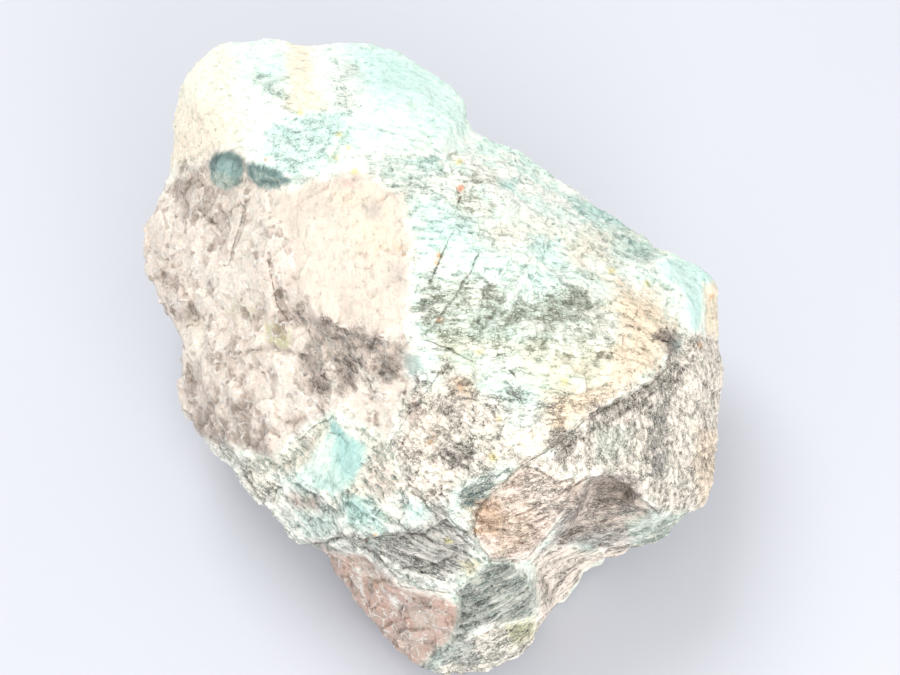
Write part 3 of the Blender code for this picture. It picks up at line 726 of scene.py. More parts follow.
# %% Patches of the crown
# Each row: the colour, how fully it covers, its soft edge, its raggedness, and its outline.
PATCHES = [
    (CREAM, 0.95, 3, 2, [
        (-72.8, 43.8), (-70.3, 60.5), (-65.6, 70.8), (-60.8, 78.5), (-52.3, 82.6), (-48.5, 75.4),
        (-50.3, 65.6), (-47.2, 59.2), (-49.7, 52.3), (-60, 48.2)]),
    (PEACH, 0.35, 3, 2, [
        (-68.2, 50.3), (-65.1, 63.1), (-56.2, 65.6), (-51, 59.2), (-53.6, 52.8), (-62.6, 50.3)]),
    (MINT, 0.9, 2, 2.5, [(-52.8, 81.5), (-37.4, 82.1), (-36.4, 68.7), (-42.6, 64.1), (-50.3, 69.7)]),
    (AQUA, 0.6, 1.5, 2.5, [(-44.1, 75.4), (-36.9, 75.9), (-36.9, 68.2), (-44.1, 69.7)]),
    (WHITE, 0.8, 2, 2, [
        (-51, 66.7), (-44.1, 64.6), (-36.9, 66.2), (-36.9, 61.5), (-44.1, 59.5), (-50.3, 60)]),
    (GREEN_GREY, 0.6, 1.2, 2, [(-45.4, 70.8), (-37.4, 71.3), (-36.9, 65.1), (-41.5, 65.6)]),
    (PEACH, 0.7, 2, 1.2, [
        (-37.2, 81), (-31.3, 80.5), (-30.8, 70.8), (-26.7, 64.6), (-27.7, 62.3), (-34.4, 62.1),
        (-37.4, 63.6)]),
    (MINT, 0.9, 3, 2, [
        (-31, 81), (-8.7, 81), (5.6, 69.7), (11.8, 58.5), (4.1, 52.3), (-8.7, 51.8), (-21.5, 57.4),
        (-27.2, 65.6)]),
    (AQUA, 0.8, 4, 3, [
        (-22.8, 81), (-8.7, 80.5), (4.1, 70.8), (10.8, 59.5), (1.5, 58.5), (-6.2, 62.6), (-15.9, 63.6),
        (-21.5, 69.7)]),
    (TURQUOISE, 0.35, 3, 3, [(-16.9, 78.5), (-7.7, 77.4), (-1, 70.8), (-6.2, 67.7), (-15.9, 69.2)]),
    (WHITE, 0.6, 3, 3, [(-26.7, 75.9), (-21, 73.3), (-15.9, 63.1), (-24.1, 63.1)]),
    (GREEN_GREY, 0.4, 1, 2, [(-22.1, 75.4), (-19, 74.9), (-19.2, 68.7), (-21.8, 69.7)]),
    (GREEN_GREY, 0.4, 1, 2, [(-25.4, 67.4), (-20.3, 66.9), (-20.3, 64.1), (-25.1, 64.6)]),
    (GREEN_GREY, 0.5, 1, 1.5, [(-6.9, 64.9), (-3.1, 64.4), (-3.3, 62.6), (-6.7, 62.8)]),
    (AQUA, 0.65, 1, 1.5, ZONES["facet"][2]),
    (TURQUOISE, 0.3, 1.5, 2, [
        (-45.4, 58.5), (-36.4, 61.3), (-24.1, 62.1), (-23.6, 59.5), (-34.4, 57.4), (-42.6, 55.4)]),
    (AQUA, 0.6, 2, 2, [(-24.6, 57.9), (-17.4, 61), (-13.3, 59.5), (-13.8, 55.4), (-21, 52.8)]),
    (GREEN_GREY, 0.35, 2, 2.5, [
        (-16.9, 52.3), (-3.6, 52.8), (2.1, 47.7), (0.5, 41), (-9.7, 41), (-15.9, 46.2)]),
    (TURQUOISE, 0.6, 1.5, 2, [(-7.7, 50.8), (1, 50.8), (1.5, 47.7), (-6.2, 47.7)]),
]
print("patches:", len(PATCHES))

# %% Patches of the quartz and the cream plate
# The hollow below and beside the ball is smoky quartz, darkened further with painted shade where it faces
# down and to the left.
SMOKY_SHADED_CORNER = [
    (-65.4, 49.2), (-57.9, 50.3), (-56.4, 42.6), (-54.4, 40), (-56.4, 34.4), (-63.6, 35.9), (-66.7, 42.6)
]
PATCHES += [
    (BEIGE, 1, 1.5, 1.2, ZONES["quartz"][2]),
    (OYSTER, 1, 2, 1.5, ZONES["plate"][2]),
    (CREAM, 0.3, 4, 3, [
        (-35.4, 29.7), (-28.7, 36.2), (-21.5, 29.7), (-23.1, 14.4), (-26.7, 9.7), (-31.8, 14.4)]),
    (PEACH, 0.45, 3, 3, [
        (-26.7, 42.6), (-15.9, 43.6), (-10, 37.4), (-8.7, 27.2), (-14.9, 22.1), (-21.5, 32.3)]),
    (GREY, 0.75, 1.5, 1.5, [
        (-18.7, 39.2), (-15.9, 40), (-13.3, 38.5), (-13.6, 35.1), (-16.4, 34.4), (-18.5, 35.9)]),
    (GREY, 0.5, 1.2, 1.5, [(-11.3, 23.6), (-7.7, 24.1), (-6.2, 21), (-8.7, 19), (-11, 20.5)]),
    (ROSE_BROWN, 0.5, 1, 1.5, [(-29.7, 46.7), (-24.1, 47.2), (-19.7, 45.6), (-20, 43.6), (-26.7, 44.1)]),
    (SMOKY, 0.6, 3, 2.5, SMOKY_SHADED_CORNER),
    (SMOKY, 0.35, 3, 3, [(-55.9, 41), (-48.7, 40.5), (-49.7, 29.7), (-53.3, 24.1), (-56.4, 29.7)]),
    (FROSTED, 0.8, 3, 2.5, [(-48.2, 41), (-41.5, 40), (-42.1, 27.2), (-49.7, 25.1), (-50.8, 30.8)]),
    (SMOKY, 0.4, 3, 3, [(-44.1, 22.1), (-34.4, 19.5), (-34.4, 9.7), (-42.1, 9.7)]),
    (SMOKY, 0.35, 3, 3, [(-73.3, 27.2), (-65.6, 29.7), (-64.1, 21.5), (-70.3, 16.9)]),
    (FROSTED, 0.8, 3, 2.5, [(-61, 24.1), (-49.7, 23.1), (-45.6, 14.4), (-52.3, 11.3), (-61, 14.4)]),
    (DARK_SMOKY, 0.7, 0.6, 1, [(-63.3, 13.3), (-61.3, 12.8), (-61.5, 8.7), (-63.1, 9.7)]),
    (CREAM, 0.6, 3, 2, [(-65.1, 7.9), (-58.5, 8.7), (-59, 1), (-62.6, -2.1), (-65.1, 1.5)]),
    (OLIVE, 0.35, 2, 2, [(-52.8, 12.8), (-44.1, 12.3), (-43.6, 10.3), (-50.8, 9.7)]),
    (DARK_SMOKY, 0.7, 1, 1.2, [(-46.2, 8.5), (-43.6, 8.5), (-43.8, 6.2), (-45.9, 6.4)]),
    (DARK_SMOKY, 0.8, 1, 1.2, [(-41.5, 16.9), (-39, 14.4), (-36.9, 9.7), (-37.4, 6.7), (-40, 9.7)]),
    (OLIVE, 0.9, 1.2, 1.2, [(-43.6, 7.9), (-39.5, 8.5), (-36.7, 5.9), (-37.9, 2.6), (-42.1, 3.1)]),
    (SMOKY, 0.55, 4, 3, [(-51.8, 4.1), (-44.1, 3.1), (-42.1, -7.2), (-49.7, -5.1)]),
    (SMOKY, 0.4, 5, 3, [(-63.6, -3.6), (-52.3, -7.2), (-45.6, -16.4), (-54.9, -21.5), (-62.6, -16.4)]),
    # These three patches are painted shadows beside lumps of the quartz.
    (SMOKY, 0.9, 0.6, 2, [(-50.3, -9.2), (-46.4, -9.7), (-45.6, -14.4), (-48.7, -16.4), (-50.8, -13.3)]),
    (DARK_SMOKY, 0.6, 0.6, 1.5, [(-43.6, -3.8), (-39.7, -4.1), (-40, -6.7), (-43.1, -6.7)]),
    (DARK_SMOKY, 0.6, 0.6, 1.5, [(-37.4, -14.9), (-32.8, -15.4), (-33.3, -19.5), (-36.4, -19)]),
    (SMOKY, 0.9, 1.5, 1.5, ZONES["smoky"][2]),
    (DARK_SMOKY, 0.6, 0.8, 2, [(-32.8, -0.5), (-24.1, 1.5), (-20, -4.1), (-22.6, -9.2), (-31.8, -8.7)]),
    (DARK_SMOKY, 0.8, 0.6, 1.5, [(-14.4, 0), (-9.7, 1.5), (-9.7, -3.6), (-12.8, -7.2)]),
    (FROSTED, 0.95, 0.6, 1.8, [(-19.5, -2.6), (-15.4, -3.6), (-13.8, -8.7), (-16.9, -11.8), (-20, -8.2)]),
    (FROSTED, 0.8, 0.5, 1.2, [(-29.7, 2.8), (-27.7, 1.5), (-24.6, -6.7), (-26.2, -8.2)]),
    (DARK_SMOKY, 0.5, 0.6, 1.5, [(-29.7, 8.7), (-22.8, 6.7), (-12.8, 4.1), (-15.9, 1.5), (-25.1, 3.6)]),
    (FROSTED, 0.8, 2, 2, [(-44.1, -8.2), (-36.9, -7.2), (-35.4, -13.8), (-42.1, -15.4)]),
    (GREY, 0.8, 1.2, 1, [(-33.1, -20.8), (-29.7, -21), (-29.2, -23.6), (-32.3, -24.4)]),
    (TEAL, 0.75, 1, 1, [(-7.7, 1), (-5.1, 0.5), (-3.6, -2.6), (-5.1, -6.2), (-7.4, -5.1)]),
    (FROSTED, 0.7, 2, 2, [(-26.7, -10.3), (-18.5, -13.8), (-10.8, -14.4), (-12.8, -20.5), (-21, -17.4)]),
    (DARK_SMOKY, 0.8, 1.5, 1.5, [
        (-63.1, -13.8), (-59, -17.4), (-49.7, -19.5), (-39.5, -26.2), (-40.5, -27.7), (-50.3, -23.1),
        (-59, -21.5)]),
]
print("patches:", len(PATCHES))

# %% Patches of the broad green face
GREEN_FIELD = [
    (-2.8, 19.5), (9.2, 20.5), (22.1, 14.4), (32.3, 17.4), (45.1, 16.9), (47.2, 2.8), (27.2, -0.5),
    (1.5, 2.8), (-2.8, 9.2)
]
GREEN_LEFT = [(-2.8, 18.5), (4.1, 20), (9.7, 16.9), (9.7, 9.7), (4.6, 6.7), (-2.1, 7.7)]
GREEN_STEP = [(11.3, 18.5), (17.2, 19), (17.7, 14.4), (12.8, 13.8)]
PATCHES += [
    (CREAM, 0.6, 4, 3, [
        (10.3, 36.4), (22.1, 36.4), (32.3, 33.6), (42.6, 30.8), (44.1, 24.1), (36.9, 24.1), (27.2, 29.7),
        (16.9, 28.2)]),
    (PEACH, 0.35, 3, 3, [(36.7, 31.3), (44.1, 29.7), (44.1, 24.1), (37.4, 25.1)]),
    (AQUA, 0.7, 3, 3, [(-1, 36.9), (10.3, 34.9), (9.2, 28.2), (-1, 28.7)]),
    (AQUA, 0.8, 2, 2.5, [(25.9, 30.3), (32.3, 29.7), (32.3, 23.1), (26.2, 23.1)]),
    (TURQUOISE, 0.8, 1.5, 1.5, [(16.2, 45.4), (21, 45.6), (21.5, 42.6), (16.9, 42.6)]),
    (TURQUOISE, 0.8, 2, 2, [(35.6, 40), (42.6, 40), (49.7, 34.4), (48.2, 31.8), (38.5, 34.9)]),
    (GREEN_GREY, 0.6, 2, 2.5, [(45.1, 32.8), (52.8, 32.8), (57.9, 26.7), (55.4, 23.6), (46.7, 27.2)]),
    (TURQUOISE, 0.5, 2, 2, [(47.7, 30.8), (54.9, 29.7), (56.9, 26.2), (50.3, 27.2)]),
    (GREEN_GREY, 0.3, 4, 3, GREEN_FIELD),
    (GREEN_GREY, 0.4, 1.5, 2.5, GREEN_LEFT),
    (GREEN_GREY, 0.6, 1.5, 2.5, GREEN_STEP),
    (GREEN_GREY, 0.5, 1.2, 2, [
        (19.2, 12.1), (24.6, 13.6), (31.3, 15.6), (39.7, 16.9), (42.1, 14.6), (38.2, 10.8), (31.3, 8.7),
        (25.9, 8.7), (19.2, 7.7), (17.2, 3.8), (12.3, 4.4), (13.8, 8.7)]),
    (GREEN_GREY, 0.35, 2, 2.5, [
        (22.1, 7.7), (32.3, 8.7), (43.6, 5.6), (43.1, 1), (32.3, 1.5), (23.6, 2.6)]),
    (PEACH, 0.9, 4, 3, [
        (43.6, 17.9), (56.7, 16.9), (62.1, 6.7), (57.9, -4.1), (47.2, -10.3), (32.3, -21.5), (26.2, -18.5),
        (31.3, -11.3), (42.6, -3.6), (47.7, 6.7)]),
    (CREAM, 0.7, 4, 3, [(22.1, 1.5), (42.6, 1), (42.6, -5.6), (29.7, -7.7), (22.1, -5.1)]),
    (OLIVE, 0.3, 3, 3, [
        (1.5, 5.4), (22.1, 4.1), (42.6, 2.8), (45.1, -3.6), (32.3, -11.3), (16.9, -9.2), (4.1, -3.6)]),
    (PEACH, 0.5, 3, 3, [(27.2, -11.3), (40, -10.3), (42.6, -12.3), (31.3, -19.5)]),
    (AQUA, 0.5, 2.5, 3, [(14.4, -3.1), (22.1, -6.2), (27.2, -12.3), (19.5, -13.8), (13.8, -9.2)]),
    (GREEN_GREY, 0.6, 1.5, 2, [(16.9, -10.8), (22.1, -12.3), (28.5, -15.9), (26.2, -17.4), (19, -14.4)]),
    (WHITE, 0.7, 3, 2.5, [(11.3, 1.5), (20, 1.5), (21, -5.1), (13.3, -7.2)]),
    (AQUA, 0.95, 1.2, 1, ZONES["corner"][2]),
    (TURQUOISE, 0.5, 1.5, 2, [(65.6, 14.4), (69.2, 14.9), (68.7, 10.8), (66.7, 10.3)]),
    (PEACH, 0.8, 1, 1, [(69.2, 18.5), (73.3, 19.5), (73.8, 1.5), (69.2, 2.6)]),
    (DARK_SMOKY, 0.9, 1.2, 1.2, [(57.9, 5.1), (61.5, 6.2), (63.6, 4.1), (63.1, -0.5), (59, -0.5)]),
    (TEAL, 0.9, 0.8, 0.8, [(61.5, 4.4), (63.6, 4.1), (63.3, -0.3), (61.8, 0.5)]),
]
print("patches:", len(PATCHES))

# %% Patches of the middle face and the block
CREAM_SLAB = [(18.2, -18.2), (30.3, -18.7), (30.8, -22.8), (26.2, -25.6), (23.3, -25.6), (20, -21.5)]
PATCHES += [
    (CREAM, 0.5, 3, 2, ZONES["middle"][2]),
    (PINK, 0.5, 3, 2, ZONES["middle"][2]),
    (ROSE_BROWN, 0.5, 1.2, 2, [(-5.4, -7.4), (-2.3, -7.7), (-3.6, -14.9), (-8.2, -18.5), (-7.7, -13.3)]),
    (SMOKY, 0.2, 1.2, 2, [(-0.8, -13.1), (5.1, -12.3), (5.6, -17.4), (0.5, -17.4)]),
    (OCHRE, 0.35, 1.2, 2, [(5.1, -6.2), (10.3, -6.7), (9.7, -10.8), (5.6, -10.8)]),
    (GREY, 0.2, 1.2, 2, [(1.5, -23.3), (9, -23.1), (9.2, -27.2), (2.6, -28.2)]),
    (CREAM, 0.95, 1, 0.8, CREAM_SLAB),
    (GREEN_GREY, 0.7, 1.2, 1.2, ZONES["teal_band"][2]),
    (PINK, 0.9, 1.2, 1, ZONES["block"][2]),
    (OCHRE, 0.55, 2, 2.5, [(10.3, -38.2), (15.9, -36.9), (19, -40.5), (16.9, -46.7), (11.8, -47.2)]),
    (PEACH, 0.6, 2, 2.5, [(18.2, -39.5), (24.6, -40), (22.1, -48.5), (15.6, -50.3)]),
]
print("patches:", len(PATCHES))

# %% Patches of the shoulder, the hollow and its painted shade, and the underside
SHOULDER_BAND = [(54.6, -12.3), (60, -11.3), (60.5, -30.3), (55.4, -31.3)]
GREEN_HEM = [(49, -41), (65.6, -39.5), (65.6, -48.5), (50.8, -48.7)]
PATCHES += [
    (FROSTED, 0.95, 2, 1.5, ZONES["shoulder"][2]),
    (GREEN_GREY, 0.6, 2, 2, [(40, -17.4), (49.7, -16.4), (49.2, -25.6), (42.1, -27.2)]),
    (GREY, 0.3, 1.5, 1.5, SHOULDER_BAND),
    (GREY, 0.35, 2, 2, [
        (32.3, -20.5), (42.6, -13.3), (57.9, -4.1), (59, -6.7), (42.6, -17.9), (33.8, -23.6)]),
    (PEACH, 0.7, 1.5, 1.5, [(66.7, -19), (73.3, -19), (72.3, -36.9), (68.2, -40)]),
    (BEIGE, 0.9, 2, 1.5, ZONES["underside"][2]),
    (ROSE_SMOKE, 0.12, 2, 1.5, ZONES["underside"][2]),
    # The grey, smoky and dark smoky patches of the hollow are painted shade under the shoulder's overhang.
    (GREY, 0.9, 1.5, 1.5, ZONES["hollow"][2]),
    (SMOKY, 0.8, 2, 1, [
        (36.4, -32.8), (43.6, -30.8), (52.8, -33.3), (55.4, -39), (52.8, -43.6), (42.6, -44.6),
        (32.3, -47.2), (34.9, -40)]),
    (DARK_SMOKY, 0.8, 1.5, 1, [
        (39.5, -31.8), (43.6, -30.8), (49.2, -33.3), (49.7, -37.4), (44.1, -39), (40.5, -36.4)]),
    (GREEN_GREY, 0.7, 1.5, 1.5, GREEN_HEM),
    (TEAL, 0.6, 1, 1, [(36.9, -48.2), (41, -48.2), (40.8, -50.5), (37.4, -50.3)]),
]
print("patches:", len(PATCHES))

# %% Patches of the terraces and their crystals
PATCHES += [
    (WHITE, 0.8, 2, 1.5, ZONES["terraces"][2]),
    (CREAM, 0.8, 2, 2, [
        (-35.4, -21.5), (-26.4, -16.2), (-11.3, -21.5), (-7.4, -34.1), (-11.5, -36.9), (-20.3, -36.2),
        (-26.7, -36.9), (-35.4, -31.3), (-41.5, -27.2)]),
    (PINK, 0.6, 2, 2, [(-19.7, -27.2), (-10.8, -27.7), (-8.2, -34.9), (-15.9, -36.4)]),
    (TEAL, 0.2, 1.5, 2, [(-54.4, -22.6), (-49.7, -23.1), (-48.2, -31.8), (-51.8, -29.7)]),
    (CREAM, 0.5, 2, 2, [(-51.8, -23.6), (-44.1, -25.6), (-39.5, -31.8), (-40.5, -36.9), (-47.2, -35.9)]),
    (ROSE_BROWN, 0.7, 1.5, 1.5, [
        (-39.7, -35.1), (-34.4, -34.4), (-29.2, -36.9), (-30.3, -39.7), (-37.4, -39)]),
    (AQUA, 0.6, 2, 2, [(-35.9, -40), (-25.1, -40.5), (-24.1, -46.2), (-32.8, -46.2)]),
    (AQUA, 0.7, 1.5, 1.5, [
        (-37.4, -31.3), (-31.3, -26.2), (-26.7, -18.5), (-22.8, -19), (-26.7, -29.2), (-29.7, -35.4),
        (-34.9, -34.9)]),
    (TURQUOISE, 0.75, 1, 1.5, [
        (-26.2, -15.9), (-24.1, -19), (-20, -20.5), (-17.4, -23.1), (-17.7, -27.2), (-20, -31.3),
        (-22.6, -34.4), (-26.2, -36.9), (-30.3, -34.4), (-28.7, -27.2), (-27.2, -21)]),
    (VIVID, 0.7, 1.5, 2, [
        (-24.1, -20.5), (-19, -22.6), (-18.5, -27.2), (-21.5, -31.3), (-24.6, -29.2), (-25.1, -24.1)]),
    (VIVID, 0.8, 0.8, 1, [(-26.7, -15.9), (-24.6, -17.4), (-23.1, -19.5), (-25.6, -20)]),
    (WHITE, 0.6, 1, 1.5, [(-28.7, -23.1), (-26.2, -21.5), (-26.7, -29.2), (-28.7, -31.3)]),
    (AQUA, 0.9, 1.5, 1.5, [
        (-23.3, -36.9), (-20, -35.4), (-16.4, -36.9), (-12.6, -42.1), (-11.3, -46.9), (-15.1, -49.7),
        (-18.2, -46.9), (-22.6, -42.1)]),
    (TURQUOISE, 0.6, 1.5, 1.2, [
        (-22.6, -37.4), (-19, -36.4), (-15.9, -38.5), (-17.4, -42.1), (-21.5, -41.5)]),
    (AQUA, 0.9, 1.2, 1.5, [(-7.7, -37.7), (-0.3, -38.7), (1, -42.1), (-3.8, -43.8), (-7.7, -42.6)]),
    (GREY, 0.65, 2, 2.5, ZONES["grey_layers"][2]),
    (GREY, 0.8, 1, 1.5, [
        (-33.3, -47.4), (-28.7, -46.7), (-23.1, -48.7), (-20, -51.8), (-24.1, -52.8), (-30.3, -50.8)]),
    (WHITE, 0.7, 1.5, 1.5, [(-9, -55.6), (-1, -53.8), (4.9, -57.4), (4.9, -60), (-6.2, -59)]),
    (YELLOW, 0.5, 1.5, 1.2, [(6.2, -52.6), (11.3, -52.1), (12.3, -55.9), (8.2, -57.4)]),
]
print("patches:", len(PATCHES))

# %% Patches of the lower quartz and the toe
PATCHES += [
    (ROSE_SMOKE, 1, 1.2, 1, ZONES["lower_quartz"][2]),
    (ROSE_BROWN, 0.5, 4, 3, [(-13.8, -57.4), (1.5, -62.6), (4.1, -71.8), (-4.9, -81), (-13.8, -72.8)]),
    (ROSE_BROWN, 0.7, 2, 1.5, [
        (-30, -48.7), (-25.1, -50.3), (-18.5, -61.5), (-11.3, -72.8), (-5.1, -80), (-8.7, -81), (-19, -69),
        (-25.6, -59.5)]),
    (SMOKY, 0.85, 1, 1.2, [(-18.7, -53.1), (-14.4, -53.3), (-12.8, -58.5), (-16.4, -59.5)]),
    (SMOKY, 0.7, 1.2, 1.5, [(-6.7, -64.9), (1, -64.6), (1.5, -70.3), (-5.1, -70.3)]),
    (SMOKY, 0.7, 1.2, 1.5, [(-9, -70.8), (-3.3, -71.8), (-3.6, -76.7), (-7.7, -75.9)]),
    (WHITE, 0.9, 0.6, 0.6, [(-20, -54.4), (-18.7, -54.4), (-18.2, -60), (-19.5, -60.5)]),
    (WHITE, 0.9, 0.6, 0.6, [(-11.5, -61.3), (-9.7, -61.5), (-8.7, -64.6), (-10.5, -64.9)]),
    (GREEN_GREY, 0.95, 1.2, 1, ZONES["toe"][2]),
    (GREY, 0.55, 1.2, 1, ZONES["toe"][2]),
    (FROSTED, 0.9, 1.5, 1.5, ZONES["toe_foot"][2]),
    (OLIVE, 0.8, 1.5, 1.2, [(17.9, -68.7), (25.6, -67.2), (26.2, -71.8), (20, -74.4)]),
    (TEAL, 0.5, 1.5, 2, [(-1, -75.4), (9.2, -72.8), (11.8, -77.9), (-1, -81.5)]),
]
print("patches:", len(PATCHES))

# %% Patches of the teal ball and leaf, with painted light and shade on the ball
PATCHES += [
    (TEAL, 1, 0.4, 0.15, [
        (-48.2, 49.2), (-44.4, 49.2), (-39.7, 47.4), (-36.9, 45.1), (-37.7, 44.1), (-42.1, 42.6),
        (-45.4, 43.8), (-47.7, 46.2)]),
    (TEAL, 1, 0.4, 0.15, [
        (-57.7, 49), (-55.9, 51.8), (-52.3, 52.6), (-49.5, 50.8), (-48.7, 47.2), (-50.3, 43.6),
        (-53.8, 42.6), (-56.9, 44.6)]),
    # The ball's dark top is painted shadow.
    (DEEP_TEAL, 0.85, 0.8, 0.3, [
        (-57.7, 49.2), (-55.9, 52.1), (-52.3, 53.1), (-48.7, 50.8), (-48.5, 47.2), (-50.8, 49.7),
        (-54.4, 50.3)]),
    # The ball's lighter lower left is painted light.
    (GREEN_GREY, 0.75, 0.8, 0.4, [
        (-56.4, 47.2), (-53.8, 46.7), (-50.8, 44.6), (-52.8, 42.6), (-55.9, 43.6)]),
    (GREEN_GREY, 0.8, 0.25, 0.1, [(-46.7, 48.2), (-39, 44.9), (-39.5, 44.4), (-46.9, 47.4)]),
    (GREEN_GREY, 0.7, 0.25, 0.1, [(-45.6, 45.6), (-41.5, 43.6), (-42.1, 43.1), (-45.9, 44.9)]),
    (DEEP_TEAL, 0.5, 0.5, 0.3, [
        (-48.2, 49.2), (-44.1, 49), (-39.5, 46.9), (-40.5, 45.6), (-45.1, 46.7), (-47.2, 46.2)]),
]
print("patches:", len(PATCHES))

# %% The dark mineral
# Each row: its share, its colour, its soft edge, its raggedness, and its outline.
FLECKS = [
    (0.0, SEA, 3, 2, ZONES["crown"][2]),
    (0.16, SEA, 1, 1.5, ZONES["facet"][2]),
    (0.2, SEA, 2, 2, [(-45.4, 71.3), (-36.9, 71.3), (-36.4, 64.6), (-42.1, 65.1)]),
    (0.2, SEA, 2, 2, [(-25.4, 75.4), (-19.5, 75.4), (-19.5, 63.1), (-25.6, 63.6)]),
    (0.25, DARK_SMOKY, 1.5, 1.2, ZONES["quartz"][2]),
    (0.0, DARK_SMOKY, 2, 1.5, ZONES["plate"][2]),
    (0.42, UMBER, 1.5, 1.5, ZONES["smoky"][2]),
    (0.5, DARK_SMOKY, 2, 2, [(-63.6, -3.6), (-52.3, -7.2), (-45.6, -16.4), (-39.5, -27.7), (-59, -21.5)]),
    # More of the dark mineral in the same corner, as part of its painted shade.
    (0.5, DARK_SMOKY, 2, 2, SMOKY_SHADED_CORNER),
    (0.22, SEA, 2, 2, [(-16.9, 52.3), (1.5, 52.8), (2.1, 42.6), (-9.7, 41), (-15.9, 46.2)]),
    (0.25, MOSS, 2, 2, [(5.4, 48.2), (18.2, 47.2), (17.4, 35.9), (5.4, 36.9)]),
    (0.24, MOSS, 3, 3, GREEN_FIELD),
    (0.4, MOSS, 2, 2.5, GREEN_LEFT),
    (0.55, MOSS, 2, 2.5, GREEN_STEP),
    (0.44, MOSS, 2, 2.5, [
        (19.2, 13.1), (24.6, 14.4), (31.3, 16.2), (39.7, 17.4), (42.6, 14.6), (38.2, 10.3), (31.3, 7.7),
        (25.9, 7.7), (19.2, 6.7), (17.2, 3.1), (12.3, 3.8), (13.8, 8.7)]),
    (0.28, MOSS, 2, 3, [
        (1.5, 6.7), (22.1, 7.7), (45.1, 6.7), (47.7, 1), (37.4, -1.5), (27.2, 0), (9.2, 2.6)]),
    (0.2, SEA, 2, 2, [(35.6, 40), (42.6, 40), (57.9, 27.2), (55.4, 22.6), (42.6, 27.2)]),
    (0.12, UMBER, 3, 3, [(42.6, 14.4), (52.8, 14.4), (63.1, 4.1), (57.9, -4.1), (47.7, -9.2)]),
    (0.42, UMBER, 2, 2, [(56.7, 6.2), (65.6, 6.7), (75.9, 4.1), (75.9, -11.3), (63.1, -4.1)]),
    (0.28, UMBER, 2, 2, [
        (11.8, -8.2), (22.1, -9.7), (32.3, -11.3), (42.6, -8.2), (46.7, -9.7), (32.3, -20), (22.1, -19),
        (14.4, -13.8)]),
    (0.25, UMBER, 2, 2, ZONES["middle"][2]),
    (0.45, UMBER, 2, 2, [(-5.4, -6.2), (-1, -6.2), (-3.6, -14.9), (-9.2, -20.5), (-8.7, -12.3)]),
    (0.5, UMBER, 2, 2, [(-0.8, -12.6), (5.6, -11.8), (6.7, -17.9), (0, -17.9)]),
    (0.5, UMBER, 2, 2, [(1.5, -22.8), (9.7, -22.6), (9.7, -27.7), (2.1, -28.7)]),
    (0.1, UMBER, 1, 0.8, CREAM_SLAB),
    (0.75, DEEP_TEAL, 1.2, 1.2, ZONES["teal_band"][2]),
    (0.32, RUST, 1.2, 1, ZONES["block"][2]),
    (0.36, UMBER, 1, 1, [(23.8, -29.2), (35.9, -32.3), (33.1, -41), (28.5, -42.1), (22.1, -36.9)]),
    (0.27, UMBER, 2, 1.5, ZONES["shoulder"][2]),
    (0.5, SLATE, 1.5, 1.5, SHOULDER_BAND),
    (0.5, UMBER, 2, 2, [
        (28.5, -23.1), (42.6, -13.8), (61, -1.5), (64.1, -6.2), (45.1, -18.5), (31.3, -27.2)]),
    (0.25, UMBER, 2, 1.5, ZONES["underside"][2]),
    (0.46, UMBER, 1.5, 1.5, ZONES["hollow"][2]),
    (0.5, SEA, 1.5, 1.5, GREEN_HEM),
    (0.26, SEA, 2, 1.5, ZONES["terraces"][2]),
    (0.04, SEA, 1, 1, ZONES["teal_crystals"][2]),
    (0.38, SLATE, 2, 1.5, ZONES["grey_layers"][2]),
    (0.3, SLATE, 2, 2, [(-54.4, -22.6), (-48.2, -24.6), (-37.9, -36.9), (-40.5, -39.5), (-49.7, -32.3)]),
    (0.35, DARK_SMOKY, 1.2, 1, ZONES["lower_quartz"][2]),
    (0.4, DEEP_TEAL, 1.2, 1, ZONES["toe"][2]),
    (0.15, DEEP_TEAL, 0.7, 0.3, ZONES["ball"][2]),
    (0.38, SLATE, 1.5, 1.5, ZONES["toe_foot"][2]),
    (0.0, SEA, 1, 1, ZONES["corner"][2]),
]
print("places of the dark mineral:", len(FLECKS))

# %% Small round stains
# Each: across and up, the radius in mm, and the colour.
STAINS = [
    ((6.9, 43.1), 1.0, ORANGE), ((6.4, 40.3), 0.5, ORANGE), ((6.4, 49.7), 0.9, YELLOW),
    ((1.5, 25.9), 0.9, OCHRE), ((0.8, 23.8), 0.7, OCHRE), ((-9.0, 27.9), 0.8, OCHRE),
    ((-7.4, 25.6), 0.7, OCHRE), ((-24.4, 56.9), 0.8, YELLOW), ((-34.4, 62.3), 0.9, YELLOW),
    ((-22.1, 53.3), 0.8, YELLOW), ((-25.1, 50.8), 0.8, YELLOW), ((-20.3, 47.4), 0.9, YELLOW),
    ((-43.6, 50.3), 0.7, OCHRE), ((54.6, 18.7), 0.9, YELLOW), ((45.6, 21.8), 0.9, YELLOW),
    ((6.7, -8.2), 0.8, OCHRE), ((-1.0, -22.1), 0.8, OCHRE), ((0.0, -20.3), 0.6, OCHRE),
    ((15.1, -25.9), 1.2, YELLOW), ((3.6, -47.4), 1.1, YELLOW), ((11.0, -44.6), 1.0, OCHRE),
    ((-15.1, -45.9), 0.6, OCHRE), ((-17.4, -47.4), 0.5, OCHRE), ((1.3, 9.0), 0.8, OCHRE),
    ((11.8, 1.0), 0.9, YELLOW), ((68.2, 2.8), 0.9, OCHRE), ((71.3, 15.4), 0.8, OCHRE),
    ((69.2, -24.1), 0.8, ROSE_BROWN), ((49.5, -16.9), 0.8, ROSE_BROWN), ((-24.6, -11.8), 0.45, DARK_SMOKY),
    ((-49.2, -17.2), 0.45, DARK_SMOKY), ((-8.5, -75.4), 0.6, DARK_SMOKY), ((16.9, -16.4), 0.8, YELLOW),
    ((33.6, -6.2), 1.0, YELLOW),
]
print("stains:", len(STAINS))

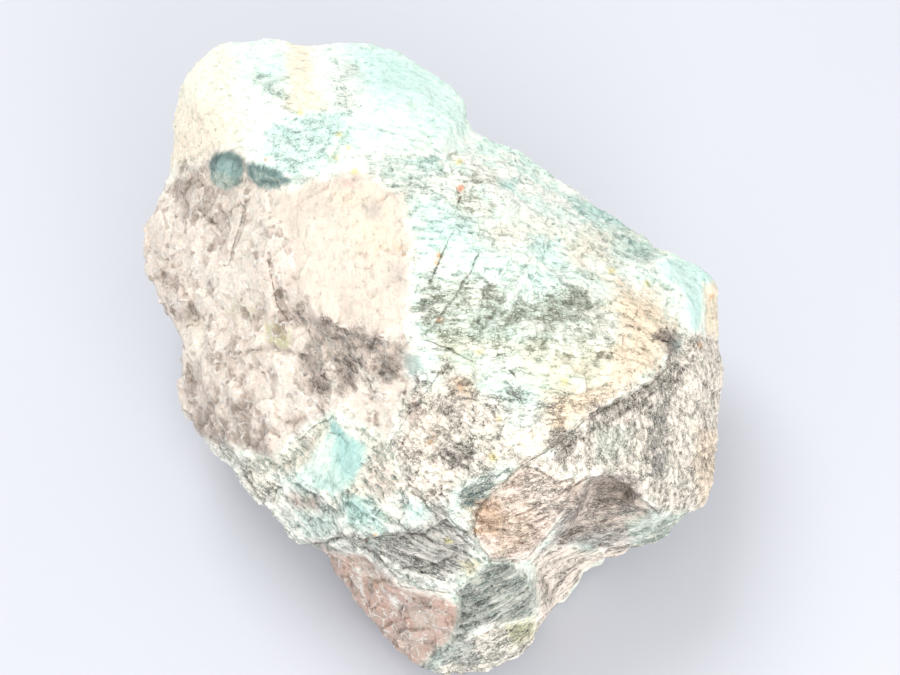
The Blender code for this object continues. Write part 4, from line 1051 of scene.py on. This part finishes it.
# %% [markdown]
# ## Paint the colours
#
# Under the patches lies a ground of white and mint feldspar, drawn out along its grain. On the side that no
# one sees in the picture, large clouds of the same minerals take the patches' place. The paint is three
# arrays: the light mineral's colour, the dark one's colour, and the dark one's share. `cover` lays a coat
# over any of them.

# %% Lay the ground
GROUND_SHARE, BACK_SHARE = 0.12, 0.55


def cover(ground, layer, amount):
    """Lays a colour or a number over the ground."""
    amount = np.asarray(amount)
    ground[:] += (layer - ground) * (amount[:, None] if ground.ndim == 2 else amount)


def lay_ground(spots, fine, run):
    """Starts the three arrays of the paint."""
    points = spots.points
    wide, small = clouds(points, 22, 3), clouds(drawn_out(points, run, 12, 5), 1, 5)
    light, dark = np.tile(WHITE, (len(points), 1)), np.tile(SEA, (len(points), 1))
    share = np.full(len(points), GROUND_SHARE)
    cover(light, MINT, smooth_step(wide + small + 0.8 * fine, -0.5, 0.6))
    cover(light, AQUA, 0.6 * smooth_step(small + fine + 0.5 * wide, 0.2, 1.0))
    cover(light, CREAM, 0.6 * smooth_step(clouds(points, 14, 21) + 0.6 * fine, 0.15, 0.7))
    back = 1 - spots.front
    cover(light, BEIGE, back * behind_is_quartz(points))
    cover(dark, DARK_SMOKY, back * behind_is_quartz(points))
    green, peach = (clouds(points, size, seed) + 0.2 * fine for size, seed in ((26, 41), (18, 43)))
    cover(light, GREEN_GREY, 0.5 * back * smooth_step(green, 0.25, 0.45))
    cover(share, BACK_SHARE, back * smooth_step(green, 0.1, 0.45))
    cover(light, PEACH, 0.5 * back * smooth_step(peach, 0.3, 0.6))
    return light, dark, share


looks, angle, calm = painted_looks(spots)
run, _ = face_directions(angle)
fine = clouds(drawn_out(spots.points, run, 5, 1.4), 1, 8) + 0.6 * clouds(spots.points, 1.6, 9)
light, dark, share = lay_ground(spots, fine, run)
print("mean colour of the ground:", light.mean(0).round(2))

# %% Lay the patches, the dark mineral and the stains
SHARE_SHOWN, PIT_SHADE_SHARE = 0.67, 0.12


def kept_values(obj, name):
    values = np.empty(len(obj.data.vertices))
    obj.data.attributes[name].data.foreach_get("value", values)
    return values


ragged = spots.wide + 0.8 * fine
for layer, strength, soft, rough, outline in PATCHES:
    depth = depth_inside(spots.seen, outline) + rough * ragged
    cover(light, layer, strength * spots.front * smooth_step(depth, -soft, soft))
for amount, layer, soft, rough, outline in FLECKS:
    depth = depth_inside(spots.seen, outline) + rough * ragged
    inside = spots.front * smooth_step(depth, -soft, soft)
    cover(dark, layer, inside)
    cover(share, amount, inside)
for (across, up), radius, layer in STAINS:
    off = np.hypot(spots.seen[:, 0] - across, spots.seen[:, 1] - up) + 0.5 * radius * spots.fine
    cover(light, layer, 0.85 * spots.front * (1 - smooth_step(off, 0.4 * radius, 1.3 * radius)))
share = SHARE_SHOWN * share * (1 + 0.8 * spots.wide + 0.3 * spots.fine)
# Pits get more of the dark mineral, as part of their painted shade.
share = np.clip(share + PIT_SHADE_SHARE * kept_values(stone, "pits"), 0, 1)
print("mean colour:", light.mean(0).round(2), "mean share of the dark mineral:", share.mean().round(2))

# %% [markdown]
# ## Keep the paint and the masks on the mesh
#
# The material needs to know where the quartz is, how much of the dark mineral shows, which way the grain
# runs, and where the cracks are. Cracks are much thinner than the net. But a line's side and distance
# change evenly from corner to corner, so these are kept instead of the line itself, and the material can
# draw the line as thin as it likes.
#
# The grain's direction is kept for each face, not for each corner. It turns at once where one zone meets
# another, and a direction that turned evenly between two corners would squeeze the patterns there. Its
# length says how far they are drawn out.

# %% Write the attributes
CRACK_REACH = 2.5
FAR_OFF = 99.0
SHORT, LONGER = 0.4, 1.05


def keep_colour(obj, name, values):
    kept = obj.data.attributes.new(name, "FLOAT_COLOR", "POINT")
    opaque = np.column_stack((values, np.ones(len(values))))
    kept.data.foreach_set("color", opaque.astype(np.float32).ravel())


def keep_direction(obj, name, values):
    """Keeps one direction for each face, that of its first corner."""
    starts = np.empty(len(obj.data.polygons), dtype=np.int64)
    obj.data.polygons.foreach_get("loop_start", starts)
    corners = np.empty(len(obj.data.loops), dtype=np.int64)
    obj.data.loops.foreach_get("vertex_index", corners)
    kept = obj.data.attributes.new(name, "FLOAT_VECTOR", "FACE")
    kept.data.foreach_set("vector", np.asarray(values, dtype=np.float32)[corners[starts]].ravel())


def crack_lines(spots):
    """The side and distance of the nearest crack, in mm, and how dark its painted shade is, from 0 to 1."""
    bent = bent_places(spots)
    side, shade_amount = np.full(len(bent), FAR_OFF), np.zeros(len(bent))
    for _, _, shown, line in GROOVES:
        line_side, past = near_line(bent, line)
        closer = np.abs(line_side) < np.abs(side)
        side = np.where(closer, line_side, side)
        fading = shown * (1 - smooth_step(past, 0, LINE_FADE)) * (np.abs(line_side) < CRACK_REACH)
        shade_amount = np.where(closer, fading, shade_amount)
    return np.clip(side, -CRACK_REACH, CRACK_REACH), shade_amount * spots.front


crack_side, crack_shade_and_depth = crack_lines(spots)
keep_colour(stone, "light_mineral", light)
keep_colour(stone, "dark_mineral", dark)
keep_value(stone, "quartz", looks["quartz"])
keep_value(stone, "share", share)
keep_value(stone, "calm", calm)
keep_direction(stone, "grain_run", run * np.sqrt(SHORT + LONGER * looks["streaks"])[:, None])
keep_value(stone, "crack_side", crack_side)
keep_value(stone, "crack_shade_and_depth", crack_shade_and_depth)
print("attributes:", [kept.name for kept in stone.data.attributes if not kept.name.startswith(".")])

# %% [markdown]
# ## The stone's material
#
# One material covers the stone, because its minerals grade into each other. It starts from the painted light
# mineral and gives every grain and flake a tone of its own. In the quartz, whole grains are smoky, because
# there one looks into the clear stone, and white rims lie where grains meet: partly frost, partly a painted
# highlight on the grains' edges. In the feldspar, the dark mineral shows as flecks and as seams between
# flakes, and thin white threads cross it. Last come the cracks and the pits, darkened with painted shade. The
# same patterns feed a Bump node, because a fleck is a small pit and a flake is a small slope.
#
# A few short helpers keep the wiring readable. Each adds one node or a short chain, wires its inputs and
# returns its output, so a line of code reads like a sum.

# %% Start the material, with helpers that add and wire nodes
NODES_IN_ROW = 14
NODE_ACROSS, NODE_DOWN = 200, 320

rock = bpy.data.materials.new("amazonite_rock")
rock.use_nodes = True
tree = rock.node_tree
shader = tree.nodes["Principled BSDF"]


def add_node(kind, **values):
    """Adds a node in rows to the left of the shader, so that the tree can be looked through by hand."""
    node = tree.nodes.new(kind)
    row, column = divmod(len(tree.nodes), NODES_IN_ROW)
    node.location = ((column - NODES_IN_ROW) * NODE_ACROSS, -row * NODE_DOWN)
    for name, value in values.items():
        setattr(node, name, value)
    return node


def feed(socket, value):
    """Wires another node's output into a socket, or sets the socket's own value."""
    if isinstance(value, bpy.types.NodeSocket):
        tree.links.new(value, socket)
    else:
        socket.default_value = value


def attribute(name, kind="Fac"):
    return add_node("ShaderNodeAttribute", attribute_name=name).outputs[kind]


def maths(operation, first, second=0.0):
    node = add_node("ShaderNodeMath", operation=operation)
    feed(node.inputs[0], first)
    feed(node.inputs[1], second)
    return node.outputs[0]


def times(first, *others):
    for other in others:
        first = maths("MULTIPLY", first, other)
    return first


def plus(first, *others):
    for other in others:
        first = maths("ADD", first, other)
    return first


def minus(first, second):
    return maths("SUBTRACT", first, second)


def ranged(value, low, high, to_low=0.0, to_high=1.0):
    """Turns the range from low to high into that from 0 to 1, or into another, and stays inside it."""
    node = add_node("ShaderNodeMapRange")
    for name, number in (("Value", value), ("From Min", low), ("From Max", high),
                         ("To Min", to_low), ("To Max", to_high)):
        feed(node.inputs[name], number)
    return node.outputs["Result"]


def mixed(amount, first, second, blend="MIX"):
    """Lays the second colour over the first. Inputs 0, 6 and 7 are the amount and the two colours."""
    node = add_node("ShaderNodeMix", data_type="RGBA", blend_type=blend)
    for socket, value in zip((node.inputs[0], node.inputs[6], node.inputs[7]), (amount, first, second)):
        feed(socket, value)
    return node.outputs[2]


def vector_maths(operation, *values):
    node = add_node("ShaderNodeVectorMath", operation=operation)
    inputs = (node.inputs[0], node.inputs["Scale"]) if operation == "SCALE" else node.inputs
    for socket, value in zip(inputs, values):
        feed(socket, value)
    return node.outputs["Value" if operation == "DOT_PRODUCT" else "Vector"]


def noise_at(vector, scale=1.0, detail=3.0, roughness=0.6):
    node = add_node("ShaderNodeTexNoise")
    for name, value in (("Vector", vector), ("Scale", scale), ("Detail", detail), ("Roughness", roughness)):
        feed(node.inputs[name], value)
    return node


print("shader:", shader.name)

# %% [markdown]
# ## Patterns along the grain
#
# `along_grain` does for the material what `drawn_out` does for the relief: it squeezes the place along the
# grain's direction, so that any pattern on it comes out long along the grain and narrow across it.
#
# `cells` cuts the stone into flat pieces with a Voronoi texture. Noise bends the place first, so that the
# pieces' edges are ragged. Each piece has a random colour: its red is used as the piece's tone, and all
# three numbers together as a slope, so that every piece catches the light in its own way.

# %% Places along the grain, and flat cells
BEND_SCALE = 1.4

position = add_node("ShaderNodeTexCoord").outputs["Object"]
grain_run = attribute("grain_run", "Vector")
run_place = vector_maths("DOT_PRODUCT", position, grain_run)


def along_grain(length, width):
    """The place, squeezed for a pattern that is so long along the grain and so wide across it, in mm."""
    more = vector_maths("SCALE", grain_run, times(run_place, (1 / length - 1 / width) / MM))
    return vector_maths("MULTIPLY_ADD", position, [1 / width / MM] * 3, more)


def cells(vector, bend):
    """How high a point of its tilted cell lies, the cell's own tone, and how far off the cell's rim is."""
    warp = noise_at(vector, BEND_SCALE, 3, 0.5).outputs["Color"]
    bent = vector_maths("MULTIPLY_ADD", warp, [bend] * 3, vector)
    cell, rim = (add_node("ShaderNodeTexVoronoi", feature=feature) for feature in ("F1", "DISTANCE_TO_EDGE"))
    for node in (cell, rim):
        feed(node.inputs["Vector"], bent)
        feed(node.inputs["Scale"], 1.0)
    slope = vector_maths("SUBTRACT", cell.outputs["Color"], (0.5, 0.5, 0.5))
    tilt = vector_maths("DOT_PRODUCT", vector_maths("SUBTRACT", bent, cell.outputs["Position"]), slope)
    tone = add_node("ShaderNodeSeparateColor")
    feed(tone.inputs[0], cell.outputs["Color"])
    return tilt, tone.outputs[0], rim.outputs["Distance"]


print("nodes so far:", len(tree.nodes))

# %% [markdown]
# ## Grains and flakes
#
# Quartz breaks into grains that are as long as they are wide, and feldspar into flakes that lie along its
# grain. One set of large cells serves both, on two different places, and the mask of the quartz chooses. It
# chooses sharply, because half of one place and half of the other would be a third pattern. Small flakes
# lie on both. Softer noise, a little wider than the flakes, gathers what comes next into loose groups.

# %% Give each grain and flake a tone of its own
GRAIN_SIZE = 3.4
FLAKE_SIZE, SMALL_FLAKE_SIZE, GROUP_SIZE = (3.2, 1.1), (0.95, 0.6), (4, 1.6)
COOLER = (0.93, 0.985, 0.97, 1)

quartz = attribute("quartz")
place = add_node("ShaderNodeMix", data_type="VECTOR")
feed(place.inputs[0], maths("GREATER_THAN", quartz, 0.5))
feed(place.inputs[4], along_grain(*FLAKE_SIZE))
feed(place.inputs[5], vector_maths("SCALE", position, 1 / (GRAIN_SIZE * MM)))
tilt, tone, rim = cells(place.outputs[1], 1.1)
small_tilt, small_tone, small_rim = cells(along_grain(*SMALL_FLAKE_SIZE), 1.2)
groups = noise_at(along_grain(*GROUP_SIZE)).outputs["Fac"]

light_mineral = attribute("light_mineral", "Color")
mottled = mixed(ranged(groups, 0.42, 0.6), light_mineral, mixed(1.0, light_mineral, COOLER, "MULTIPLY"))
both_tones = plus(times(tone, 0.5), times(small_tone, 0.5))
brightness = ranged(both_tones, 0.1, 0.9, ranged(quartz, 0, 1, 0.94, 0.86), 1.04)
toned = mixed(1.0, mottled, brightness, "MULTIPLY")
print("nodes so far:", len(tree.nodes))

# %% [markdown]
# ## Smoky grains, and frost with a painted highlight
#
# A grain of the quartz is smoky where its tone is lower than the share of the dark mineral there, so a larger
# share makes more grains smoky. The frost is a thin white line along the grains' rims: partly frosted quartz,
# partly a painted highlight on the grains' edges. It is only there in some groups.

# %% Smoky grains of quartz, with frost and a painted highlight between them
FROST_AND_HIGHLIGHT = (0.95, 0.92, 0.88, 1)

dark_mineral = attribute("dark_mineral", "Color")
dark_share = attribute("share")
smoky = ranged(minus(times(quartz, dark_share, 1.5), tone), 0.0, 0.03)
smoked = mixed(times(smoky, ranged(groups, 0.38, 0.58, 0.15, 0.85)), toned, dark_mineral)
# The white rims are frosted quartz and a painted highlight on the grains' edges.
frost_and_highlight = times(ranged(rim, 0.01, 0.08, 1, 0), quartz, ranged(groups, 0.4, 0.55))
frost_highlighted = mixed(times(frost_and_highlight, 0.9), smoked, FROST_AND_HIGHLIGHT)
print("nodes so far:", len(tree.nodes))

# %% [markdown]
# ## Flecks, seams and threads
#
# A noise above a level makes flecks, and the level sinks where more of the dark mineral shows. Gaps lie
# between the small flakes and seams between the large ones, but only where there are flecks too. Hair lines
# and white threads both come from one wandering noise. It passes 0.5 along thin lines, which are the hair
# lines, and the threads follow them on both sides at a small distance.

# %% Dark flecks and seams in the feldspar
FLECK_SIZE, WANDER_SIZE = (1.7, 0.8), (2.6, 1.0)
SOOT, THREAD_WHITE = (0.12, 0.11, 0.1, 1), (0.86, 0.84, 0.79, 1)

feldspar = ranged(quartz, 0, 1, 1, 0.2)
fleck_noise = noise_at(along_grain(*FLECK_SIZE), detail=2, roughness=0.65).outputs["Fac"]
fleck_height = plus(times(minus(fleck_noise, 0.5), 1.5), times(groups, 0.3))
fleck = ranged(minus(fleck_height, ranged(dark_share, 0, 1, 0.53, 0.05)), 0.0, 0.05)
gap = ranged(small_rim, 0.03, ranged(fleck_noise, 0.35, 0.65, 0.08, 0.25), 1, 0)
gap = times(gap, ranged(plus(groups, times(dark_share, 0.4)), 0.52, 0.68))
seam = times(ranged(rim, 0.01, 0.07, 1, 0), ranged(plus(fleck_noise, times(dark_share, 0.5)), 0.5, 0.7))
fleck = times(maths("MAXIMUM", fleck, times(maths("MAXIMUM", gap, seam), 0.85)), feldspar)
flecked = mixed(times(fleck, ranged(dark_share, 0.03, 0.25, 0.5, 1.0)), frost_highlighted, dark_mineral)
print("nodes so far:", len(tree.nodes))

# %% Hair lines and white threads
wander = noise_at(along_grain(*WANDER_SIZE), roughness=0.65).outputs["Fac"]
off_line = maths("ABSOLUTE", minus(wander, 0.5))
hair_shown = ranged(plus(groups, times(dark_share, 0.35)), 0.54, 0.74)
hair = times(ranged(off_line, 0.002, 0.018, 1, 0), hair_shown, feldspar)
lined = mixed(times(hair, 0.65), flecked, mixed(0.4, dark_mineral, SOOT))
thread = ranged(maths("ABSOLUTE", minus(off_line, 0.07)), 0.0, 0.022, 1, 0)
thread = times(thread, ranged(dark_share, 0.1, 0.4, 0.0, 0.85))
threaded = mixed(thread, lined, THREAD_WHITE)
print("nodes so far:", len(tree.nodes))

# %% [markdown]
# ## Cracks, gloss and bump
#
# A crack is drawn as a dark brown line of painted shade where the kept distance to its line is small, with a
# ragged width and a few breaks. Then the pits are darkened with painted shade. Quartz is glassier than
# feldspar, so it is less rough.
#
# For the bump, cells are tilted and flecks and hair lines are pits, while threads stand out. Where two
# zones meet, the calm takes the bump away with the rest, and where hardly any dark mineral shows, the bump
# is low.

# %% Cracks and pits, darkened with painted shade
CRACK_SHADE = (0.15, 0.11, 0.08, 1)

crack_width = ranged(groups, 0.35, 0.65, 0.12, 0.4)
crack = ranged(maths("ABSOLUTE", attribute("crack_side")), 0.03, crack_width, 1, 0)
crack = times(crack, attribute("crack_shade_and_depth"), ranged(wander, 0.4, 0.5))
# The dark brown along the cracks is painted shade in the cracks, the slits and under the ledges.
crack_shaded = mixed(crack, threaded, CRACK_SHADE)
# The pits are darkened towards the dark mineral's colour: painted shade.
pit_shaded = mixed(times(attribute("pits"), 0.3), crack_shaded, mixed(1.0, crack_shaded, dark_mineral, "MULTIPLY"))
feed(shader.inputs["Base Color"], pit_shaded)
print("nodes so far:", len(tree.nodes))

# %% Gloss and bump, and the stone's place in the model
BUMP_DEPTH = 0.5

dullness = plus(times(quartz, -0.25), times(groups, 0.3))
feed(shader.inputs["Roughness"], ranged(dullness, -0.25, 0.3, 0.38, 0.8))
feed(shader.inputs["Specular IOR Level"], 0.4)
strength = maths("MAXIMUM", ranged(dark_share, 0.0, 0.4, 0.3, 1.1), times(quartz, 0.8))
height = plus(tilt, times(small_tilt, 0.8))
height = minus(height, plus(times(fleck, 0.35), times(hair, 0.4)))
height = plus(height, times(thread, 0.35))
height = minus(times(height, times(strength, attribute("calm"))), crack)
bump = add_node("ShaderNodeBump")
for name, value in (("Strength", 1.0), ("Distance", BUMP_DEPTH * MM), ("Height", height)):
    feed(bump.inputs[name], value)
feed(shader.inputs["Normal"], bump.outputs["Normal"])

stone.data.materials.clear()
stone.data.materials.append(rock)
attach(stone, "root")
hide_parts("rough_amazonite")
print("material nodes:", len(tree.nodes))

# %% [markdown]
# ## Floor, light and camera
#
# The stone lies on a plain pale floor. A large soft lamp stands above it and a little to the left, a weaker
# one low in front lights the shoulder and the toe, and a pale sky fills the shadows, as in a bright product
# view. The camera looks down at the broken face.

# %% Lay the floor
FLOOR_SIZE = 4
FLOOR_COLOUR = (0.56, 0.575, 0.632, 1)

bpy.ops.object.select_all(action="DESELECT")
bpy.ops.mesh.primitive_plane_add(size=FLOOR_SIZE, location=(0, 0, 0))
floor = bpy.context.object
floor.name = "floor"
pale_floor = bpy.data.materials.new("pale_floor")
pale_floor.use_nodes = True
floor_shader = pale_floor.node_tree.nodes["Principled BSDF"]
floor_shader.inputs["Base Color"].default_value = FLOOR_COLOUR
floor_shader.inputs["Roughness"].default_value = 0.9
floor_shader.inputs["Specular IOR Level"].default_value = 0.1
floor.data.materials.append(pale_floor)
floor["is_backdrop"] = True
print("floor:", FLOOR_SIZE, "m wide")

# %% Light it with a sky and two lamps
SKY_COLOUR, SKY_STRENGTH = (1, 0.985, 0.96, 1), 0.95
LAMP_SIZE = 0.5
LAMP_AIM = Vector((0, 0, 0.05))
# Each lamp: its name, its place in m, and its power in watts.
LAMPS = [("soft_light", (-0.25, 0.35, 0.9), 5.0), ("low_fill", (0.25, -0.6, 0.3), 3.4)]

world = bpy.data.worlds.new("pale_sky")
bpy.context.scene.world = world
world.use_nodes = True
sky = world.node_tree.nodes["Background"]
sky.inputs["Color"].default_value = SKY_COLOUR
sky.inputs["Strength"].default_value = SKY_STRENGTH
for name, place, watts in LAMPS:
    bpy.ops.object.light_add(type="AREA", location=place)
    lamp = bpy.context.object
    lamp.name = name
    lamp.data.shape = "DISK"
    lamp.data.size = LAMP_SIZE
    lamp.data.energy = watts
    lamp.rotation_euler = (LAMP_AIM - lamp.location).to_track_quat("-Z", "Y").to_euler()
print("lamps:", [name for name, _, _ in LAMPS])

# %% Look at the broken face
SENSOR_WIDTH, LENS = 36, 81.12
SHIFT_X, SHIFT_Y = 0.0178, 0.0206

bpy.ops.object.camera_add()
camera = bpy.context.object
camera.name = "camera"
camera.location = (Vector(FACE_MIDDLE) + FACE_TURN @ Vector((0, 0, EYE_DISTANCE))) * MM
camera.rotation_euler = FACE_TURN.to_euler()
camera.data.sensor_width = SENSOR_WIDTH
camera.data.lens = LENS
camera.data.shift_x = SHIFT_X
camera.data.shift_y = SHIFT_Y
camera.data.clip_start = 0.01
bpy.context.scene.camera = camera
bpy.context.scene.view_settings.view_transform = "Standard"
print("camera at", [round(c, 3) for c in camera.location])

# %% [markdown]
# ## Measure and finish
#
# The CAD stone's box and the dressed stone's box are both kept and printed. The dressed stone
# may not be larger than the CAD stone.

# %% Keep the boxes and finish
own_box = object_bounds()
boxes = {name: [list(end) for end in box] for name, box in (("cad", cad_box), ("visual", own_box))}
for name, box in boxes.items():
    print(name, "box in mm:", [[round(c / MM, 1) for c in end] for end in box])
